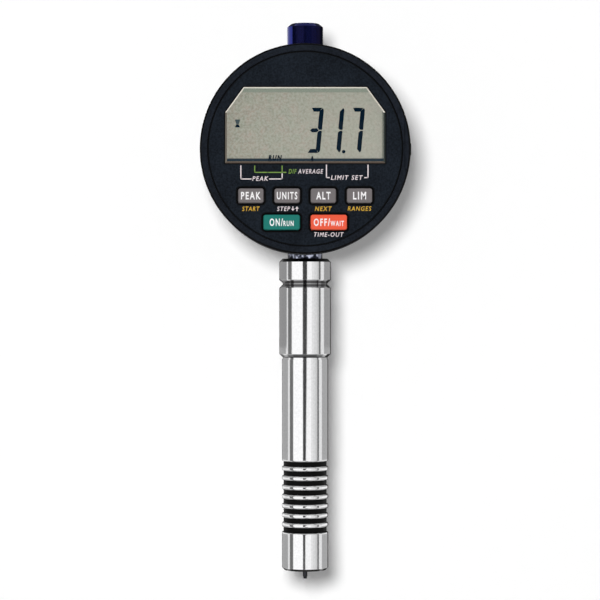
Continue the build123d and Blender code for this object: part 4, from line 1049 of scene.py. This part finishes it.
def add_reflectors():
    """Cards that give polished steel its streaks: dark flags beside a pale room, and grey sides."""
    for name, (glow, *place) in CARDS.items():
        reflector(name, curved_card(*place), glow)
    bm = bmesh.new()
    flag = [*FLAG_RIGHT, (FLAG_LEFT, FLAG_RIGHT[-1][1]), (FLAG_LEFT, FLAG_RIGHT[0][1])]
    bm.faces.new([bm.verts.new((x, -FLAG_DISTANCE, z)) for x, z in flag])
    reflector("middle_flag", bm, FLAG_LEVEL)
    for name, (level, height, reach) in ROUND_CARDS.items():
        bm = bmesh.new()
        place = Matrix.Translation((0, 0, height))
        bmesh.ops.create_circle(bm, cap_ends=True, segments=DISC_STEPS, radius=reach, matrix=place)
        reflector(name, bm, level)


class DUROMETER_OT_stage(bpy.types.Operator):
    """Sets up the camera, the backdrop, the lights and the reflectors"""

    bl_idname = "durometer.stage"
    bl_label = "Camera and stage"

    def execute(self, context):
        stage = context.scene.durometer_stage
        context.scene.view_settings.view_transform = "Standard"
        add_camera(context.scene, stage)
        add_world(context.scene, stage)
        add_backdrop(stage)
        add_key_lamp(stage)
        add_distant_lamps(stage)
        add_reflectors()
        return {"FINISHED"}


class DUROMETER_PT_panel(bpy.types.Panel):
    """Lists the steps that dress the durometer"""

    bl_idname = "DUROMETER_PT_panel"
    bl_label = "Durometer"
    bl_space_type = "VIEW_3D"
    bl_region_type = "UI"
    bl_category = "Durometer"

    def draw(self, context):
        for step in STEPS:
            self.layout.operator(step.bl_idname)


STEPS = (
    DUROMETER_OT_metals, DUROMETER_OT_mouldings, DUROMETER_OT_electronics, DUROMETER_OT_reading,
    DUROMETER_OT_face_print, DUROMETER_OT_key_words, DUROMETER_OT_stage,
)
SETTINGS = {
    "durometer_reading": DurometerReading, "durometer_print": DurometerPrint,
    "durometer_finish": DurometerFinish, "durometer_stage": DurometerStage,
}
CLASSES = (*SETTINGS.values(), *STEPS, DUROMETER_PT_panel)


def register():
    for kind in CLASSES:
        bpy.utils.register_class(kind)
    for name, kind in SETTINGS.items():
        setattr(bpy.types.Scene, name, bpy.props.PointerProperty(type=kind))


def unregister():
    for name in SETTINGS:
        delattr(bpy.types.Scene, name)
    for kind in reversed(CLASSES):
        bpy.utils.unregister_class(kind)


def main():
    register()
    for step in STEPS:
        getattr(bpy.ops.durometer, step.bl_idname.split(".")[1])()


if __name__ == "__main__":
    main()
